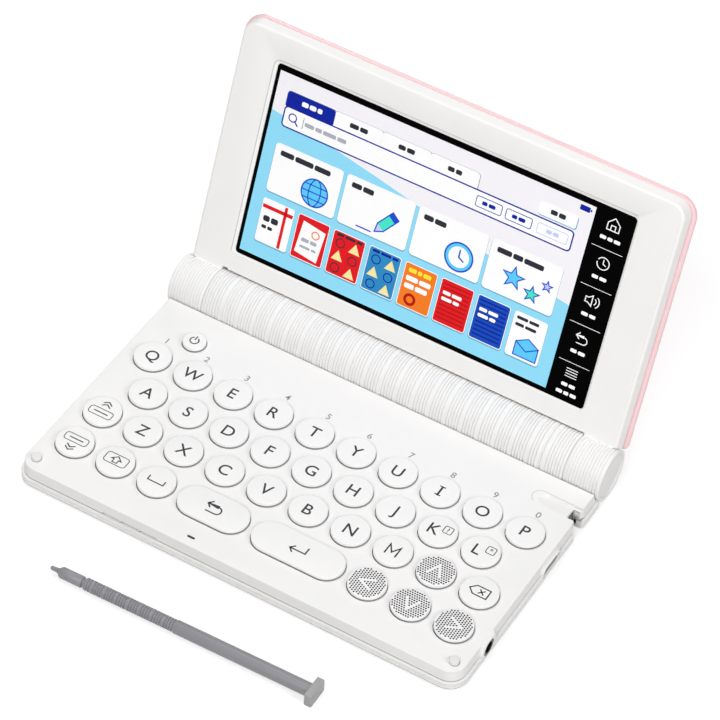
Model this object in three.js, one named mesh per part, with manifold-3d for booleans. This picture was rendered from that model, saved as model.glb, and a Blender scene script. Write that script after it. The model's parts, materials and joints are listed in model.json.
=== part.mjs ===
import * as THREE from 'three';
import { mergeVertices } from 'three/addons/utils/BufferGeometryUtils.js';
import Module from 'manifold-3d';

const wasm = await Module();
wasm.setup();

// Pocket electronic dictionary: a thin keyboard base, a ribbed battery barrel along its back edge
// and a screen lid that turns about the barrel. Lengths are in millimetres and angles in degrees.
// X runs from left to right, Y from the front edge to the back, Z up from the table.

// Keys
const columnPitch = 14.07;
const keySpacing = 2.6;
const rowTightening = 0.52;
const functionRowExtra = 0.48;
const functionRowY = 16.05;
const keySideMargin = 4.95;
const keyProud = 1.3;
const keyTopEdge = 0.4;
const keyTopInset = 0.35;
const keySkirtHeight = 0.7;
const keySkirtWidth = 0.75;
const keyTravel = 0.8;
const keyFacets = 14;
const backKeyLength = 22.77;
const wideKeyGap = 2.13;
const powerKeyDiameter = 7.2;
const powerKeySetback = 12.1;

// Base case
const footHeight = 0.6;
const rimHeight = 2.75;
const seamGap = 0.3;
const upperWallHeight = 3.8;
const frontCornerRadius = 6;
const rearCornerRadius = 1.4;
const rimEdge = 0.4;
const rimProud = 0.75;
const upperWallDraft = 0.3;
const deckEdge = 0.45;
const caseWall = 1.3;
const deckThickness = 1.4;
const floorThickness = 1.1;
const lipWall = 0.8;
const lipHeight = 1.2;
const rearWall = 1.2;

// Clearances and cutting
const fitGap = 0.3;
const overrun = 2;
const mergeTolerance = 0.0005;
const smallestRadius = 0.1;
const cornerSteps = 5;

// Barrel and hinge
const barrelOverlap = 2.85;
const endSectionLength = 11.9;
const barrelWall = 1;
const barrelPlugLength = 8;
const barrelFacets = 18;
const barrelGroovePitch = 1.9;
const barrelGrooveDepth = 0.35;
const barrelGroovesPerGroup = 2;
const endGroovePitch = 2;
const endGrooveDepth = 0.22;
const endPlainLand = 0.7;
const endDrawIn = 0.15;
const endDiscRim = 0.9;
const endDiscRecess = 0.55;
const endEdge = 0.3;
const tongueInset = 4.8;
const tongueFrontGap = 1.35;
const tongueThickness = 3.4;
const tongueLift = 0.5;
const hingePinRadius = 1.8;
const hingePinReach = 7;
const hingeDrumRadius = 3;
const hingeDrumLength = 6;
const hingeFacets = 16;

// Battery bay
const bayStartAngle = -130;
const bayEndAngle = 12;
const bayCoverInset = 0.1;
const bayGripCount = 5;
const bayGripAngle = -38;
const bayGripStep = 10;
const bayGripHeight = 0.3;
const bayGripWidth = 0.8;
const bayGripSpan = 12;
const cellRadius = 7;
const cellRoom = 0.4;
const cellNubRadius = 2.7;
const cellNubLength = 1;
const cellShoulder = 0.5;
const cellFacets = 16;
const contactPlateRadius = 5.5;
const contactPlateThickness = 0.6;
const contactTipRadius = 1.6;
const contactReach = 2.55;

// Details of the deck and the walls
const bumperRadius = 1.5;
const bumperHeight = 1.15;
const bumperSideInset = 4.5;
const bumperY = 5.3;
const bumperEdge = 0.3;
const statusSlotLength = 2.6;
const statusSlotWidth = 0.7;
const statusSlotY = 4.2;
const statusSlotDepth = 0.5;
const statusSlotFacets = 8;
const outletLength = 5.8;
const outletPitch = 6.35;
const outletHeight = 0.75;
const outletSideInset = 39.6;
const outletCount = 3;
const footLength = 10;
const footWidth = 4.5;
const footSideInset = 14;
const footY = 8;

// Stylus silo and its notch in the right wall
const siloWidth = 4.5;
const siloSetback = 15;
const siloToRear = 12.3;
const siloTipRoom = 1.5;
const siloWall = 1.2;
const siloRoofThickness = 1.25;
const notchDepth = 3.8;
const notchWidth = 5.3;
const notchShift = 0.55;
const scoopLength = 11.9;
const scoopDepth = 0.5;

// Sockets in the right wall
const jackY = 18.05;
const jackZ = 3.75;
const jackRadius = 2.4;
const jackBore = 1.8;
const jackLength = 2.2;
const jackFloor = 0.5;
const jackInset = 0.25;
const jackBossRadius = 4.2;
const jackFacets = 18;
const portY = 55;
const portZ = 3.2;
const portWidth = 8;
const portHeight = 2.6;
const portLength = 2.4;
const portWall = 0.35;
const portInset = 1.2;
const portRecessWidth = 9.6;
const portRecessHeight = 4.2;
const portRecessSlope = 0.4;
const portRecessCorner = 1.4;
const portBossRim = 0.35;
const bossFlare = 0.9;

// Inner pieces of the base
const boardThickness = 0.8;
const boardLift = 0.4;
const boardGap = 0.7;
const boardSideGap = 1.2;
const chipHeight = 1.6;
const chipDepth = 2.8;
const chipLengths = [22, 14, 9];
const chipGap = 9;
const speakerLength = 20;
const speakerDepth = 5.2;
const speakerHeight = 3.2;

// Lid
const lidOpenAngle = 109;
const lidFrontInset = 1.35;
const lidCornerRadius = 5.2;
const lidKeyGap = 0.475;
const lidBarrelGap = 0.54;
const bezelInset = 0.8;
const bezelThickness = 4.15;
const bezelDraft = 0.5;
const bezelEdge = 0.9;
const bezelWall = 1.8;
const bezelPlate = 2.95;
const bezelSlit = 1.6;
const coverGap = 0.3;
const coverProud = 0.5;
const coverThickness = 2.1;
const coverEdge = 0.75;
const coverFloor = 1.2;
const glassSideMargin = 14.65;
const glassBottom = 15.35;
const glassTopMargin = 10.25;
const glassThickness = 1.1;
const glassRecess = 0.5;
const glassCornerRadius = 1.1;
const windowBevel = 1.2;
const displayLedge = 1.6;
const displayThickness = 2.1;
const lidCavityBottom = 11;

// Stylus, which lies on the table in front of the base
const stylusLength = 87.4;
const stylusRadius = 2.05;
const stylusGripRadius = 1.9;
const stylusGripLength = 28.5;
const stylusHolderRadius = 1.7;
const stylusHolderLength = 7.6;
const stylusNeckRadius = 1.25;
const stylusNeckLength = 0.9;
const stylusNibRadius = 0.55;
const stylusNibLength = 3.2;
const stylusChamfer = 0.7;
const stylusRingCount = 6;
const stylusRingWidth = 1.3;
const stylusRingDepth = 0.22;
const stylusFacets = 12;
const stylusHeadLength = 2.4;
const stylusHeadWidth = 7.6;
const stylusHeadHeight = 4.6;
const stylusHeadEdge = 0.4;
const stylusTipX = -45.6;
const stylusTipY = -22.9;
const stylusTurn = 1;

// Levels and places that follow from the sizes
const toRadians = Math.PI / 180;
const keyDiameter = columnPitch - keySpacing;
const rowZY = functionRowY + columnPitch + functionRowExtra;
const letterRowPitch = columnPitch - rowTightening;
const topRowY = rowZY + 2 * letterRowPitch;
const siloCentreY = topRowY + siloSetback;
const siloDepth = stylusLength - stylusHeadLength + siloTipRoom;
const baseWidth = 10 * columnPitch - keySpacing + 2 * keySideMargin;
const baseDepth = siloCentreY + siloToRear;
const halfWidth = baseWidth / 2;
const notchX = halfWidth - notchDepth;
const outletCentreX = outletSideInset - halfWidth;
const rimTopZ = footHeight + rimHeight;
const upperBottomZ = rimTopZ + seamGap;
const deckZ = upperBottomZ + upperWallHeight;
const floorZ = footHeight + floorThickness;
const deckUnderZ = deckZ - deckThickness;
const skirtTop = deckUnderZ - fitGap;
const skirtBottom = skirtTop - keySkirtHeight;
const bayRadius = cellRadius + cellRoom;
const barrelRadius = bayRadius + barrelWall;
const barrelAxisZ = barrelRadius * Math.cos(Math.PI / barrelFacets);
const barrelAxisY = baseDepth + barrelRadius - barrelOverlap;
const endInnerX = halfWidth - endSectionLength;
const centreHalf = endInnerX - fitGap;
const bayHalf = centreHalf - barrelPlugLength;
const contactTipX = bayHalf - fitGap - contactReach;
const cellLength = contactTipX - fitGap - cellNubLength - fitGap / 2;
const keyRadius = keyDiameter / 2;
const siloFrontY = siloCentreY - siloWidth / 2;
const siloBackY = siloCentreY + siloWidth / 2;
const siloEndX = notchX - siloDepth;
const tongueHalf = centreHalf - tongueInset;
const tongueFrontY = siloBackY + siloWall + tongueFrontGap;
const speakerFrontY = rimProud + caseWall + fitGap + lipWall + fitGap;
const boardFrontY = speakerFrontY + speakerDepth + boardGap;
const boardRearY = siloFrontY - siloWall - boardGap;
const boardHalf = halfWidth - rimProud - caseWall - fitGap - lipWall - boardSideGap;
const lidTurn = (180 - lidOpenAngle) * toRadians;
const faceD = barrelAxisZ - deckZ - keyProud - lidKeyGap;
const bezelBackD = faceD - bezelThickness;
const coverFrontD = bezelBackD - coverGap;
const coverBackD = coverFrontD - coverThickness;
const glassFaceD = faceD - glassRecess;
const glassBackD = glassFaceD - glassThickness;
const ledgeD = glassBackD - fitGap;
const lidReach = barrelAxisY - lidFrontInset;
const coverHalf = halfWidth + coverProud;
const bezelHalf = halfWidth - bezelInset;
const bezelTop = lidReach - bezelInset / 2;
const glassHalf = halfWidth - glassSideMargin;
const glassTop = lidReach - glassTopMargin;

// Solids

function signedVolume(positions, triangles) {
  const a = new THREE.Vector3();
  const b = new THREE.Vector3();
  const c = new THREE.Vector3();
  let sum = 0;
  for (let i = 0; i < triangles.length; i += 3) {
    a.fromArray(positions, triangles[i] * 3);
    b.fromArray(positions, triangles[i + 1] * 3);
    c.fromArray(positions, triangles[i + 2] * 3);
    sum += a.dot(b.cross(c));
  }
  return sum;
}

// Turns a closed geometry into a solid. Corners are merged, triangles that closed up are left out,
// and a mirrored surface is turned the right way out again.
function solid(geometry) {
  geometry.deleteAttribute('normal');
  geometry.deleteAttribute('uv');
  const merged = mergeVertices(geometry, mergeTolerance);
  const positions = merged.attributes.position.array;
  const corners = merged.index.array;
  const kept = [];
  for (let i = 0; i < corners.length; i += 3) {
    const [a, b, c] = [corners[i], corners[i + 1], corners[i + 2]];
    if (a !== b && b !== c && c !== a) kept.push(a, b, c);
  }
  if (signedVolume(positions, kept) < 0) kept.reverse();
  const mesh = new wasm.Mesh({
    numProp: 3,
    vertProperties: new Float32Array(positions),
    triVerts: new Uint32Array(kept),
  });
  return new wasm.Manifold(mesh);
}

function join(solids) {
  return solids.reduce((whole, next) => whole.add(next));
}

function cut(body, tools) {
  return tools.length ? body.subtract(join(tools)) : body;
}

function toGeometry(body) {
  const mesh = body.getMesh();
  const geometry = new THREE.BufferGeometry();
  geometry.setAttribute('position', new THREE.BufferAttribute(mesh.vertProperties, 3));
  geometry.setIndex(new THREE.BufferAttribute(mesh.triVerts, 1));
  geometry.computeVertexNormals();
  return geometry;
}

function block(x0, x1, y0, y1, z0, z1) {
  const box = new THREE.BoxGeometry(x1 - x0, y1 - y0, z1 - z0);
  return solid(box.translate((x0 + x1) / 2, (y0 + y1) / 2, (z0 + z1) / 2));
}

// Rectangle with four rounded corners, counter-clockwise, its front corners first
function roundedOutline(x0, x1, y0, y1, frontRadius, rearRadius = frontRadius) {
  const corners = [
    [x1, y0, -1, 1, frontRadius, -90],
    [x1, y1, -1, -1, rearRadius, 0],
    [x0, y1, 1, -1, rearRadius, 90],
    [x0, y0, 1, 1, frontRadius, 180],
  ];
  const points = [];
  for (const [x, y, alongX, alongY, wanted, startAngle] of corners) {
    const radius = Math.max(wanted, smallestRadius);
    for (let step = 0; step <= cornerSteps; step += 1) {
      const angle = (startAngle + (90 * step) / cornerSteps) * toRadians;
      const px = x + alongX * radius + radius * Math.cos(angle);
      const py = y + alongY * radius + radius * Math.sin(angle);
      points.push(new THREE.Vector2(px, py));
    }
  }
  return points;
}

// Round or long outline with half-round ends; the facets of the two ends together make a full turn
function capsuleOutline(x, y, length, width, facets) {
  const radius = width / 2;
  const reach = Math.max(length / 2 - radius, 0);
  const points = [];
  for (let step = 0; step <= facets; step += 1) {
    const angle = ((step / facets) * 360 - 90) * toRadians;
    const centreX = step <= facets / 2 ? x + reach : x - reach;
    points.push(new THREE.Vector2(centreX + radius * Math.cos(angle), y + radius * Math.sin(angle)));
    if (step === facets / 2 && reach > 0) {
      points.push(new THREE.Vector2(x - reach, y + radius));
    }
  }
  if (reach === 0) points.pop();
  return points;
}

// Closed body through outlines of equal point count, from the lowest level to the highest
function loft(rings) {
  const count = rings[0].outline.length;
  const positions = [];
  for (const ring of rings) {
    for (const point of ring.outline) positions.push(point.x, point.y, ring.level);
  }
  const triangles = [];
  for (let ring = 0; ring < rings.length - 1; ring += 1) {
    for (let i = 0; i < count; i += 1) {
      const a = ring * count + i;
      const b = ring * count + ((i + 1) % count);
      triangles.push(a, b, b + count, a, b + count, a + count);
    }
  }
  const last = (rings.length - 1) * count;
  for (const [a, b, c] of THREE.ShapeUtils.triangulateShape(rings[0].outline, [])) {
    triangles.push(c, b, a);
  }
  for (const [a, b, c] of THREE.ShapeUtils.triangulateShape(rings[rings.length - 1].outline, [])) {
    triangles.push(last + a, last + b, last + c);
  }
  const geometry = new THREE.BufferGeometry();
  geometry.setAttribute('position', new THREE.Float32BufferAttribute(positions, 3));
  geometry.setIndex(triangles);
  return solid(geometry);
}

function prism(outline, z0, z1) {
  return loft([{ outline, level: z0 }, { outline, level: z1 }]);
}

// Revolves points of distance along the X axis and radius about the barrel's own axis. A flat facet
// points straight down.
function turned(profile, facets) {
  const points = profile.map(([along, radius]) => new THREE.Vector2(radius, along));
  const lathe = new THREE.LatheGeometry(points, facets, Math.PI / facets);
  return solid(lathe.rotateZ(-Math.PI / 2));
}

function rod(x0, x1, radius, facets) {
  return turned([[x0, 0], [x0, radius], [x1, radius], [x1, 0]], facets);
}

function atBarrel(body) {
  return body.translate([0, barrelAxisY, barrelAxisZ]);
}

function mirrored(body) {
  return body.mirror([1, 0, 0]);
}

// Wedge of the space round the barrel's axis, between two angles counted from the back upwards
function barrelWedge(x0, x1, startAngle, endAngle) {
  const reach = barrelRadius * 3;
  const steps = 4;
  const points = [new THREE.Vector2(0, 0)];
  for (let step = 0; step <= steps; step += 1) {
    const angle = (startAngle + ((endAngle - startAngle) * step) / steps) * toRadians;
    points.push(new THREE.Vector2(reach * Math.cos(angle), reach * Math.sin(angle)));
  }
  const shape = new THREE.Shape(points);
  const geometry = new THREE.ExtrudeGeometry(shape, { depth: x1 - x0, bevelEnabled: false });
  geometry.rotateY(Math.PI / 2).rotateX(Math.PI / 2).translate(x0, 0, 0);
  return solid(geometry);
}

// Base outline, drawn in by a distance from the widest line of the bottom rim
function baseOutline(inset) {
  return roundedOutline(
    inset - halfWidth, halfWidth - inset, inset, baseDepth - inset,
    frontCornerRadius - inset, rearCornerRadius - inset,
  );
}

// Barrel profiles

// Points of one group of grooves that starts at a plain land
function groovePoints(start, pitch, count, radius, depth) {
  const points = [];
  for (let groove = 0; groove < count; groove += 1) {
    points.push([start + (groove + 0.5) * pitch, radius - depth]);
    points.push([start + (groove + 1) * pitch, radius]);
  }
  return points;
}

function ribbedCentre() {
  const period = barrelGroovePitch * (barrelGroovesPerGroup + 1);
  const groups = Math.floor((2 * centreHalf - barrelGroovePitch) / period);
  const start = -(groups * period + barrelGroovePitch) / 2;
  const points = [[-centreHalf, 0], [-centreHalf, barrelRadius]];
  for (let group = 0; group < groups; group += 1) {
    const land = start + group * period + barrelGroovePitch;
    points.push([land, barrelRadius]);
    points.push(...groovePoints(
      land, barrelGroovePitch, barrelGroovesPerGroup, barrelRadius, barrelGrooveDepth,
    ));
  }
  points.push([centreHalf, barrelRadius], [centreHalf, 0]);
  return turned(points, barrelFacets);
}

// Right end section of the barrel with the blind bore of the hinge pin and its sunk end disc. It is
// drawn in a little so that it turns clear of the table.
function ribbedEnd() {
  const boreRadius = hingePinRadius + fitGap;
  const boreEnd = endInnerX + hingePinReach + fitGap;
  const endRadius = barrelRadius - endDrawIn;
  const discRadius = endRadius - endEdge - endDiscRim;
  const start = endInnerX + endPlainLand;
  const count = Math.floor((halfWidth - endPlainLand - start) / endGroovePitch);
  return turned([
    [boreEnd, 0],
    [boreEnd, boreRadius],
    [endInnerX, boreRadius],
    [endInnerX, endRadius],
    [start, endRadius],
    ...groovePoints(start, endGroovePitch, count, endRadius, endGrooveDepth),
    [halfWidth - endEdge, endRadius],
    [halfWidth, endRadius - endEdge],
    [halfWidth, discRadius + endEdge],
    [halfWidth - endDiscRecess, discRadius],
    [halfWidth - endDiscRecess, 0],
  ], barrelFacets);
}

// Keys

const outerColumnX = 4.5 * columnPitch;
const wideKeysStart = keyRadius - 2.5 * columnPitch;
const backKeyX = wideKeysStart + wideKeyGap + backKeyLength / 2;
const enterKeyLength = -2 * wideKeysStart - backKeyLength - 3 * wideKeyGap;

function keyRow(letters, startX, y) {
  return [...letters].map((letter, i) => ({
    name: `key_${letter}`, x: startX + i * columnPitch, y, length: keyDiameter, width: keyDiameter,
  }));
}

function roundKey(name, column, y) {
  return { name, x: column * columnPitch - outerColumnX, y, length: keyDiameter, width: keyDiameter };
}

const keys = [
  ...keyRow('qwertyuiop', -outerColumnX, topRowY),
  ...keyRow('asdfghjkl', columnPitch / 2 - outerColumnX, topRowY - letterRowPitch),
  ...keyRow('zxcvbnm', columnPitch - outerColumnX, rowZY),
  {
    name: 'key_power', x: columnPitch / 2 - outerColumnX, y: topRowY + powerKeySetback,
    length: powerKeyDiameter, width: powerKeyDiameter,
  },
  roundKey('key_previous', 0, rowZY),
  roundKey('key_next', 0, functionRowY),
  roundKey('key_shift', 1, functionRowY),
  roundKey('key_space', 2, functionRowY),
  { name: 'key_back', x: backKeyX, y: functionRowY, length: backKeyLength, width: keyDiameter },
  {
    name: 'key_enter', x: -wideKeysStart - wideKeyGap - enterKeyLength / 2, y: functionRowY,
    length: enterKeyLength, width: keyDiameter,
  },
  roundKey('key_left', 7, functionRowY),
  roundKey('key_down', 8, functionRowY),
  roundKey('key_right', 9, functionRowY),
  roundKey('key_up', 8, rowZY),
  roundKey('key_delete', 9, rowZY),
];

function keyOutline(key, grow) {
  return capsuleOutline(key.x, key.y, key.length + 2 * grow, key.width + 2 * grow, keyFacets);
}

// Key cap with a retaining skirt under the deck and a soft edge round its flat top
function keyCap(key) {
  const top = deckZ + keyProud;
  return loft([
    { outline: keyOutline(key, keySkirtWidth), level: skirtBottom },
    { outline: keyOutline(key, 0), level: skirtTop },
    { outline: keyOutline(key, 0), level: top - keyTopEdge },
    { outline: keyOutline(key, -keyTopInset), level: top },
  ]);
}

// Base

// Space that the barrel and the turning lid ends keep free in the case
function barrelRoom(radius) {
  return atBarrel(rod(-halfWidth - overrun, halfWidth + overrun, radius, barrelFacets * 2));
}

function notchRoom() {
  const front = siloCentreY - notchWidth / 2 - notchShift;
  return block(notchX, halfWidth + overrun, front, front + notchWidth, -overrun, deckZ + overrun);
}

// Slot through both case halves for the barrel's mounting tongue
function tongueRoom() {
  const half = tongueHalf + fitGap;
  const low = floorZ + tongueLift - fitGap;
  return block(-half, half, tongueFrontY - fitGap, barrelAxisY, low, low + tongueThickness + 2 * fitGap);
}

// Round seat of the earphone jack, open to the outside
function jackRoom() {
  const seatStart = halfWidth - jackInset - jackLength - fitGap;
  const seat = rod(seatStart, halfWidth + overrun, jackRadius + fitGap, jackFacets);
  return seat.translate([0, jackY, jackZ]);
}

function portOutline(grow) {
  return roundedOutline(
    -portRecessWidth / 2 - grow, portRecessWidth / 2 + grow,
    -portRecessHeight / 2 - grow, portRecessHeight / 2 + grow, portRecessCorner + grow,
  );
}

// Stands a body that was drawn flat about the port's centre up in the right wall
function inPortWall(body) {
  return body.rotate([90, 0, 90]).translate([0, portY, portZ]);
}

// Seat of the data port and the long recess in the wall in front of it
function portRoom() {
  const halfPort = portWidth / 2 + fitGap;
  const seat = block(
    halfWidth - portInset - portLength - fitGap, halfWidth,
    portY - halfPort, portY + halfPort,
    portZ - portHeight / 2 - fitGap, portZ + portHeight / 2 + fitGap,
  );
  const recess = loft([
    { outline: portOutline(-portRecessSlope), level: halfWidth - portInset },
    { outline: portOutline(0), level: halfWidth },
    { outline: portOutline(0), level: halfWidth + overrun },
  ]);
  return join([seat, inPortWall(recess)]);
}

// Flared swellings of the upper wall round the two sockets, flush with the bottom rim
function socketBosses() {
  const root = halfWidth - rimProud - caseWall;
  const wallLevel = halfWidth - bossFlare;
  const jackBoss = turned([
    [root, 0],
    [root, jackBossRadius + bossFlare],
    [wallLevel, jackBossRadius + bossFlare],
    [halfWidth, jackBossRadius],
    [halfWidth, 0],
  ], jackFacets * 2).translate([0, jackY, jackZ]);
  const portBoss = loft([
    { outline: portOutline(portBossRim + bossFlare), level: root },
    { outline: portOutline(portBossRim + bossFlare), level: wallLevel },
    { outline: portOutline(portBossRim), level: halfWidth },
  ]);
  const wall = block(root, halfWidth, 0, baseDepth, upperBottomZ, deckZ - deckEdge);
  return join([jackBoss, inPortWall(portBoss)]).intersect(wall);
}

function outletRooms() {
  const first = outletCentreX - ((outletCount - 1) * outletPitch) / 2;
  const rooms = [];
  for (let i = 0; i < outletCount; i += 1) {
    const centre = first + i * outletPitch;
    rooms.push(block(
      centre - outletLength / 2, centre + outletLength / 2, -overrun, caseWall + rimProud + 2 * lipWall,
      rimTopZ - (outletHeight - seamGap) / 2, upperBottomZ + (outletHeight - seamGap) / 2,
    ));
  }
  return rooms;
}

// Shallow ramp in the deck for the fingertip that draws the stylus out
function scoopRoom() {
  const width = notchWidth;
  const front = siloCentreY - width / 2 - notchShift;
  const outline = capsuleOutline(0, width / 2, 2 * scoopLength, width, keyFacets);
  const tilt = Math.atan2(scoopDepth, width) / toRadians;
  return prism(outline, 0, overrun).rotate([-tilt, 0, 0]).translate([notchX, front, deckZ]);
}

// Moulded bumper that the closed lid rests on
function bumper(x) {
  const top = deckZ + bumperHeight;
  const outline = (radius) => capsuleOutline(x, bumperY, 0, 2 * radius, keyFacets);
  return loft([
    { outline: outline(bumperRadius), level: deckZ - deckThickness / 2 },
    { outline: outline(bumperRadius), level: top - bumperEdge },
    { outline: outline(bumperRadius - bumperEdge), level: top },
  ]);
}

function baseTopCase() {
  const shell = loft([
    { outline: baseOutline(rimProud), level: upperBottomZ },
    { outline: baseOutline(rimProud + upperWallDraft), level: deckZ - deckEdge },
    { outline: baseOutline(rimProud + upperWallDraft + deckEdge), level: deckZ },
  ]);
  const cavity = cut(
    prism(baseOutline(rimProud + caseWall), upperBottomZ - overrun, deckUnderZ),
    [barrelRoom(barrelRadius + fitGap + rearWall)],
  );
  const holes = keys.map((key) => prism(keyOutline(key, fitGap), floorZ, deckZ + overrun));
  const siloRoof = block(
    siloEndX, notchX + overrun, siloFrontY, siloBackY, floorZ, deckZ - siloRoofThickness,
  );
  const statusSlot = prism(
    capsuleOutline(backKeyX, statusSlotY, statusSlotLength, statusSlotWidth, statusSlotFacets),
    deckZ - statusSlotDepth, deckZ + overrun,
  );
  const body = cut(join([cut(shell, [cavity]), socketBosses()]), [
    ...holes, siloRoof, statusSlot, notchRoom(), scoopRoom(), jackRoom(), portRoom(), tongueRoom(),
    barrelRoom(barrelRadius + fitGap), ...outletRooms(),
  ]);
  const bumperX = halfWidth - bumperSideInset;
  return join([body, bumper(-bumperX), bumper(bumperX)]);
}

// Bottom case with a proud rim, a locating lip inside the seam and the channel for the stylus
function baseBottomCase() {
  const lipInset = rimProud + caseWall + fitGap;
  const lipTop = rimTopZ + lipHeight;
  const rim = loft([
    { outline: baseOutline(rimEdge), level: footHeight },
    { outline: baseOutline(0), level: footHeight + rimEdge },
    { outline: baseOutline(0), level: rimTopZ - rimEdge / 2 },
    { outline: baseOutline(rimEdge / 2), level: rimTopZ },
  ]);
  const lip = prism(baseOutline(lipInset), floorZ, lipTop);
  const cavity = cut(
    prism(baseOutline(lipInset + lipWall), floorZ, lipTop + overrun),
    [barrelRoom(barrelRadius + fitGap + rearWall)],
  );
  const wallTop = deckUnderZ - fitGap;
  const wallFoot = footHeight + rimEdge;
  const closedX = siloEndX - siloWall;
  const channelEnd = halfWidth - rimProud - caseWall - fitGap;
  const channel = [
    block(closedX, channelEnd, siloFrontY - siloWall, siloFrontY, wallFoot, wallTop),
    block(closedX, channelEnd, siloBackY, siloBackY + siloWall, wallFoot, wallTop),
    block(closedX, siloEndX, siloFrontY, siloBackY, wallFoot, wallTop),
  ];
  // Above the seam the lip stays inside the rear wall of the upper half
  const rearRoom = block(
    -halfWidth, halfWidth, siloBackY + siloWall, baseDepth, rimTopZ, lipTop + overrun,
  ).intersect(barrelRoom(barrelRadius + fitGap + rearWall + fitGap));
  const tray = cut(join([rim, lip]), [cavity, rearRoom]);
  return cut(join([tray, ...channel]), [
    notchRoom(), jackRoom(), portRoom(), tongueRoom(), barrelRoom(barrelRadius + fitGap),
    ...outletRooms(),
  ]);
}

function batteryBarrel() {
  const ribbedFrom = -fitGap * 4;
  const reach = barrelRadius * 2;
  const upper = block(-halfWidth, halfWidth, -reach, reach, ribbedFrom, reach);
  const plain = rod(-centreHalf, centreHalf, barrelRadius, barrelFacets);
  const outside = join([ribbedCentre().intersect(upper), cut(plain, [upper])]);
  const tongueLow = floorZ + tongueLift - barrelAxisZ;
  const tongue = block(
    -tongueHalf, tongueHalf, tongueFrontY - barrelAxisY, 0,
    tongueLow, tongueLow + tongueThickness,
  );
  const pinBore = hingePinRadius + fitGap;
  const drumBore = hingeDrumRadius + fitGap;
  const drumStart = bayHalf - overrun;
  const drumEnd = bayHalf + hingeDrumLength + 2 * fitGap;
  const pinSeat = join([
    rod(drumStart, drumEnd, drumBore, hingeFacets),
    rod(drumStart, centreHalf + overrun, pinBore, hingeFacets),
  ]);
  return atBarrel(cut(join([outside, tongue]), [
    rod(-bayHalf, bayHalf, bayRadius, barrelFacets),
    barrelWedge(-bayHalf, bayHalf, bayStartAngle, bayEndAngle),
    pinSeat, mirrored(pinSeat),
  ]));
}

// Curved battery cover with a few grip ribs at its middle
function batteryCover() {
  const half = bayHalf - fitGap;
  const gapAngle = fitGap / bayRadius / toRadians;
  const outer = barrelRadius - bayCoverInset;
  const shell = cut(rod(-half, half, outer, barrelFacets), [
    rod(-half - overrun, half + overrun, bayRadius, barrelFacets),
  ]);
  const grips = [];
  for (let i = 0; i < bayGripCount; i += 1) {
    const grip = block(
      -bayGripSpan / 2, bayGripSpan / 2, bayRadius + barrelWall / 2, outer + bayGripHeight,
      -bayGripWidth / 2, bayGripWidth / 2,
    );
    grips.push(grip.rotate([bayGripAngle + (i - (bayGripCount - 1) / 2) * bayGripStep, 0, 0]));
  }
  const arc = barrelWedge(-half, half, bayStartAngle + gapAngle, bayEndAngle - gapAngle);
  return atBarrel(join([shell.intersect(arc), ...grips]));
}

function batteryCell(startX) {
  const shoulderRadius = cellRadius - cellShoulder;
  return turned([
    [startX, 0],
    [startX, shoulderRadius],
    [startX + cellShoulder, cellRadius],
    [startX + cellLength - cellShoulder, cellRadius],
    [startX + cellLength, shoulderRadius],
    [startX + cellLength, cellNubRadius],
    [startX + cellLength + cellNubLength, cellNubRadius],
    [startX + cellLength + cellNubLength, 0],
  ], cellFacets);
}

// Contact plate at the right end of the bay, with a pressed tip that reaches to the cell
function batteryContact() {
  const plateEnd = bayHalf - fitGap;
  return atBarrel(turned([
    [contactTipX, 0],
    [contactTipX, contactTipRadius],
    [plateEnd - contactPlateThickness, 2 * contactTipRadius],
    [plateEnd - contactPlateThickness, contactPlateRadius],
    [plateEnd, contactPlateRadius],
    [plateEnd, 0],
  ], cellFacets));
}

// Hinge shaft with its friction drum inside the barrel and its pin inside the lid's end
function hingeShaft() {
  const drumStart = bayHalf + fitGap;
  return atBarrel(turned([
    [drumStart, 0],
    [drumStart, hingeDrumRadius],
    [drumStart + hingeDrumLength, hingeDrumRadius],
    [drumStart + hingeDrumLength, hingePinRadius],
    [endInnerX + hingePinReach, hingePinRadius],
    [endInnerX + hingePinReach, 0],
  ], hingeFacets));
}

function mainBoard() {
  const low = floorZ + boardLift;
  const top = low + boardThickness;
  const plate = block(-boardHalf, boardHalf, boardFrontY, boardRearY, low, top);
  const chips = [];
  const row = chipLengths.reduce((sum, length) => sum + length + chipGap, -chipGap);
  let x = -row / 2;
  for (const length of chipLengths) {
    chips.push(block(x, x + length, boardRearY - chipDepth, boardRearY, low, top + chipHeight));
    x += length + chipGap;
  }
  return join([plate, ...chips]);
}

// Rubber mat with the key domes; its top is where a pressed key's skirt stops
function keyMat() {
  const low = floorZ + boardLift + boardThickness + fitGap;
  const top = skirtBottom - keyTravel - fitGap;
  const rearY = boardRearY - chipDepth - boardGap;
  return prism(
    roundedOutline(-boardHalf, boardHalf, boardFrontY, rearY, frontCornerRadius / 2), low, top,
  );
}

function speaker() {
  const low = floorZ + fitGap;
  return prism(
    roundedOutline(
      outletCentreX - speakerLength / 2, outletCentreX + speakerLength / 2,
      speakerFrontY, speakerFrontY + speakerDepth, speakerDepth / 2,
    ),
    low, low + speakerHeight,
  );
}

function earphoneJack() {
  const outer = halfWidth - jackInset;
  const inner = outer - jackLength;
  return turned([
    [inner, 0],
    [inner, jackRadius],
    [outer, jackRadius],
    [outer, jackBore],
    [inner + jackFloor, jackBore],
    [inner + jackFloor, 0],
  ], jackFacets).translate([0, jackY, jackZ]);
}

function dataPort() {
  const outer = halfWidth - portInset;
  const portBlock = (x0, x1, inset) => block(
    x0, x1,
    portY - portWidth / 2 + inset, portY + portWidth / 2 - inset,
    portZ - portHeight / 2 + inset, portZ + portHeight / 2 - inset,
  );
  const mouth = portBlock(outer - portLength + portWall, outer + overrun, portWall);
  return cut(portBlock(outer - portLength, outer, 0), [mouth]);
}

function foot(x) {
  return prism(capsuleOutline(x, footY, footLength, footWidth, keyFacets), 0, footHeight);
}

// Lid, drawn with X across, Y up the screen and Z out of its face, about the barrel's axis

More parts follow.
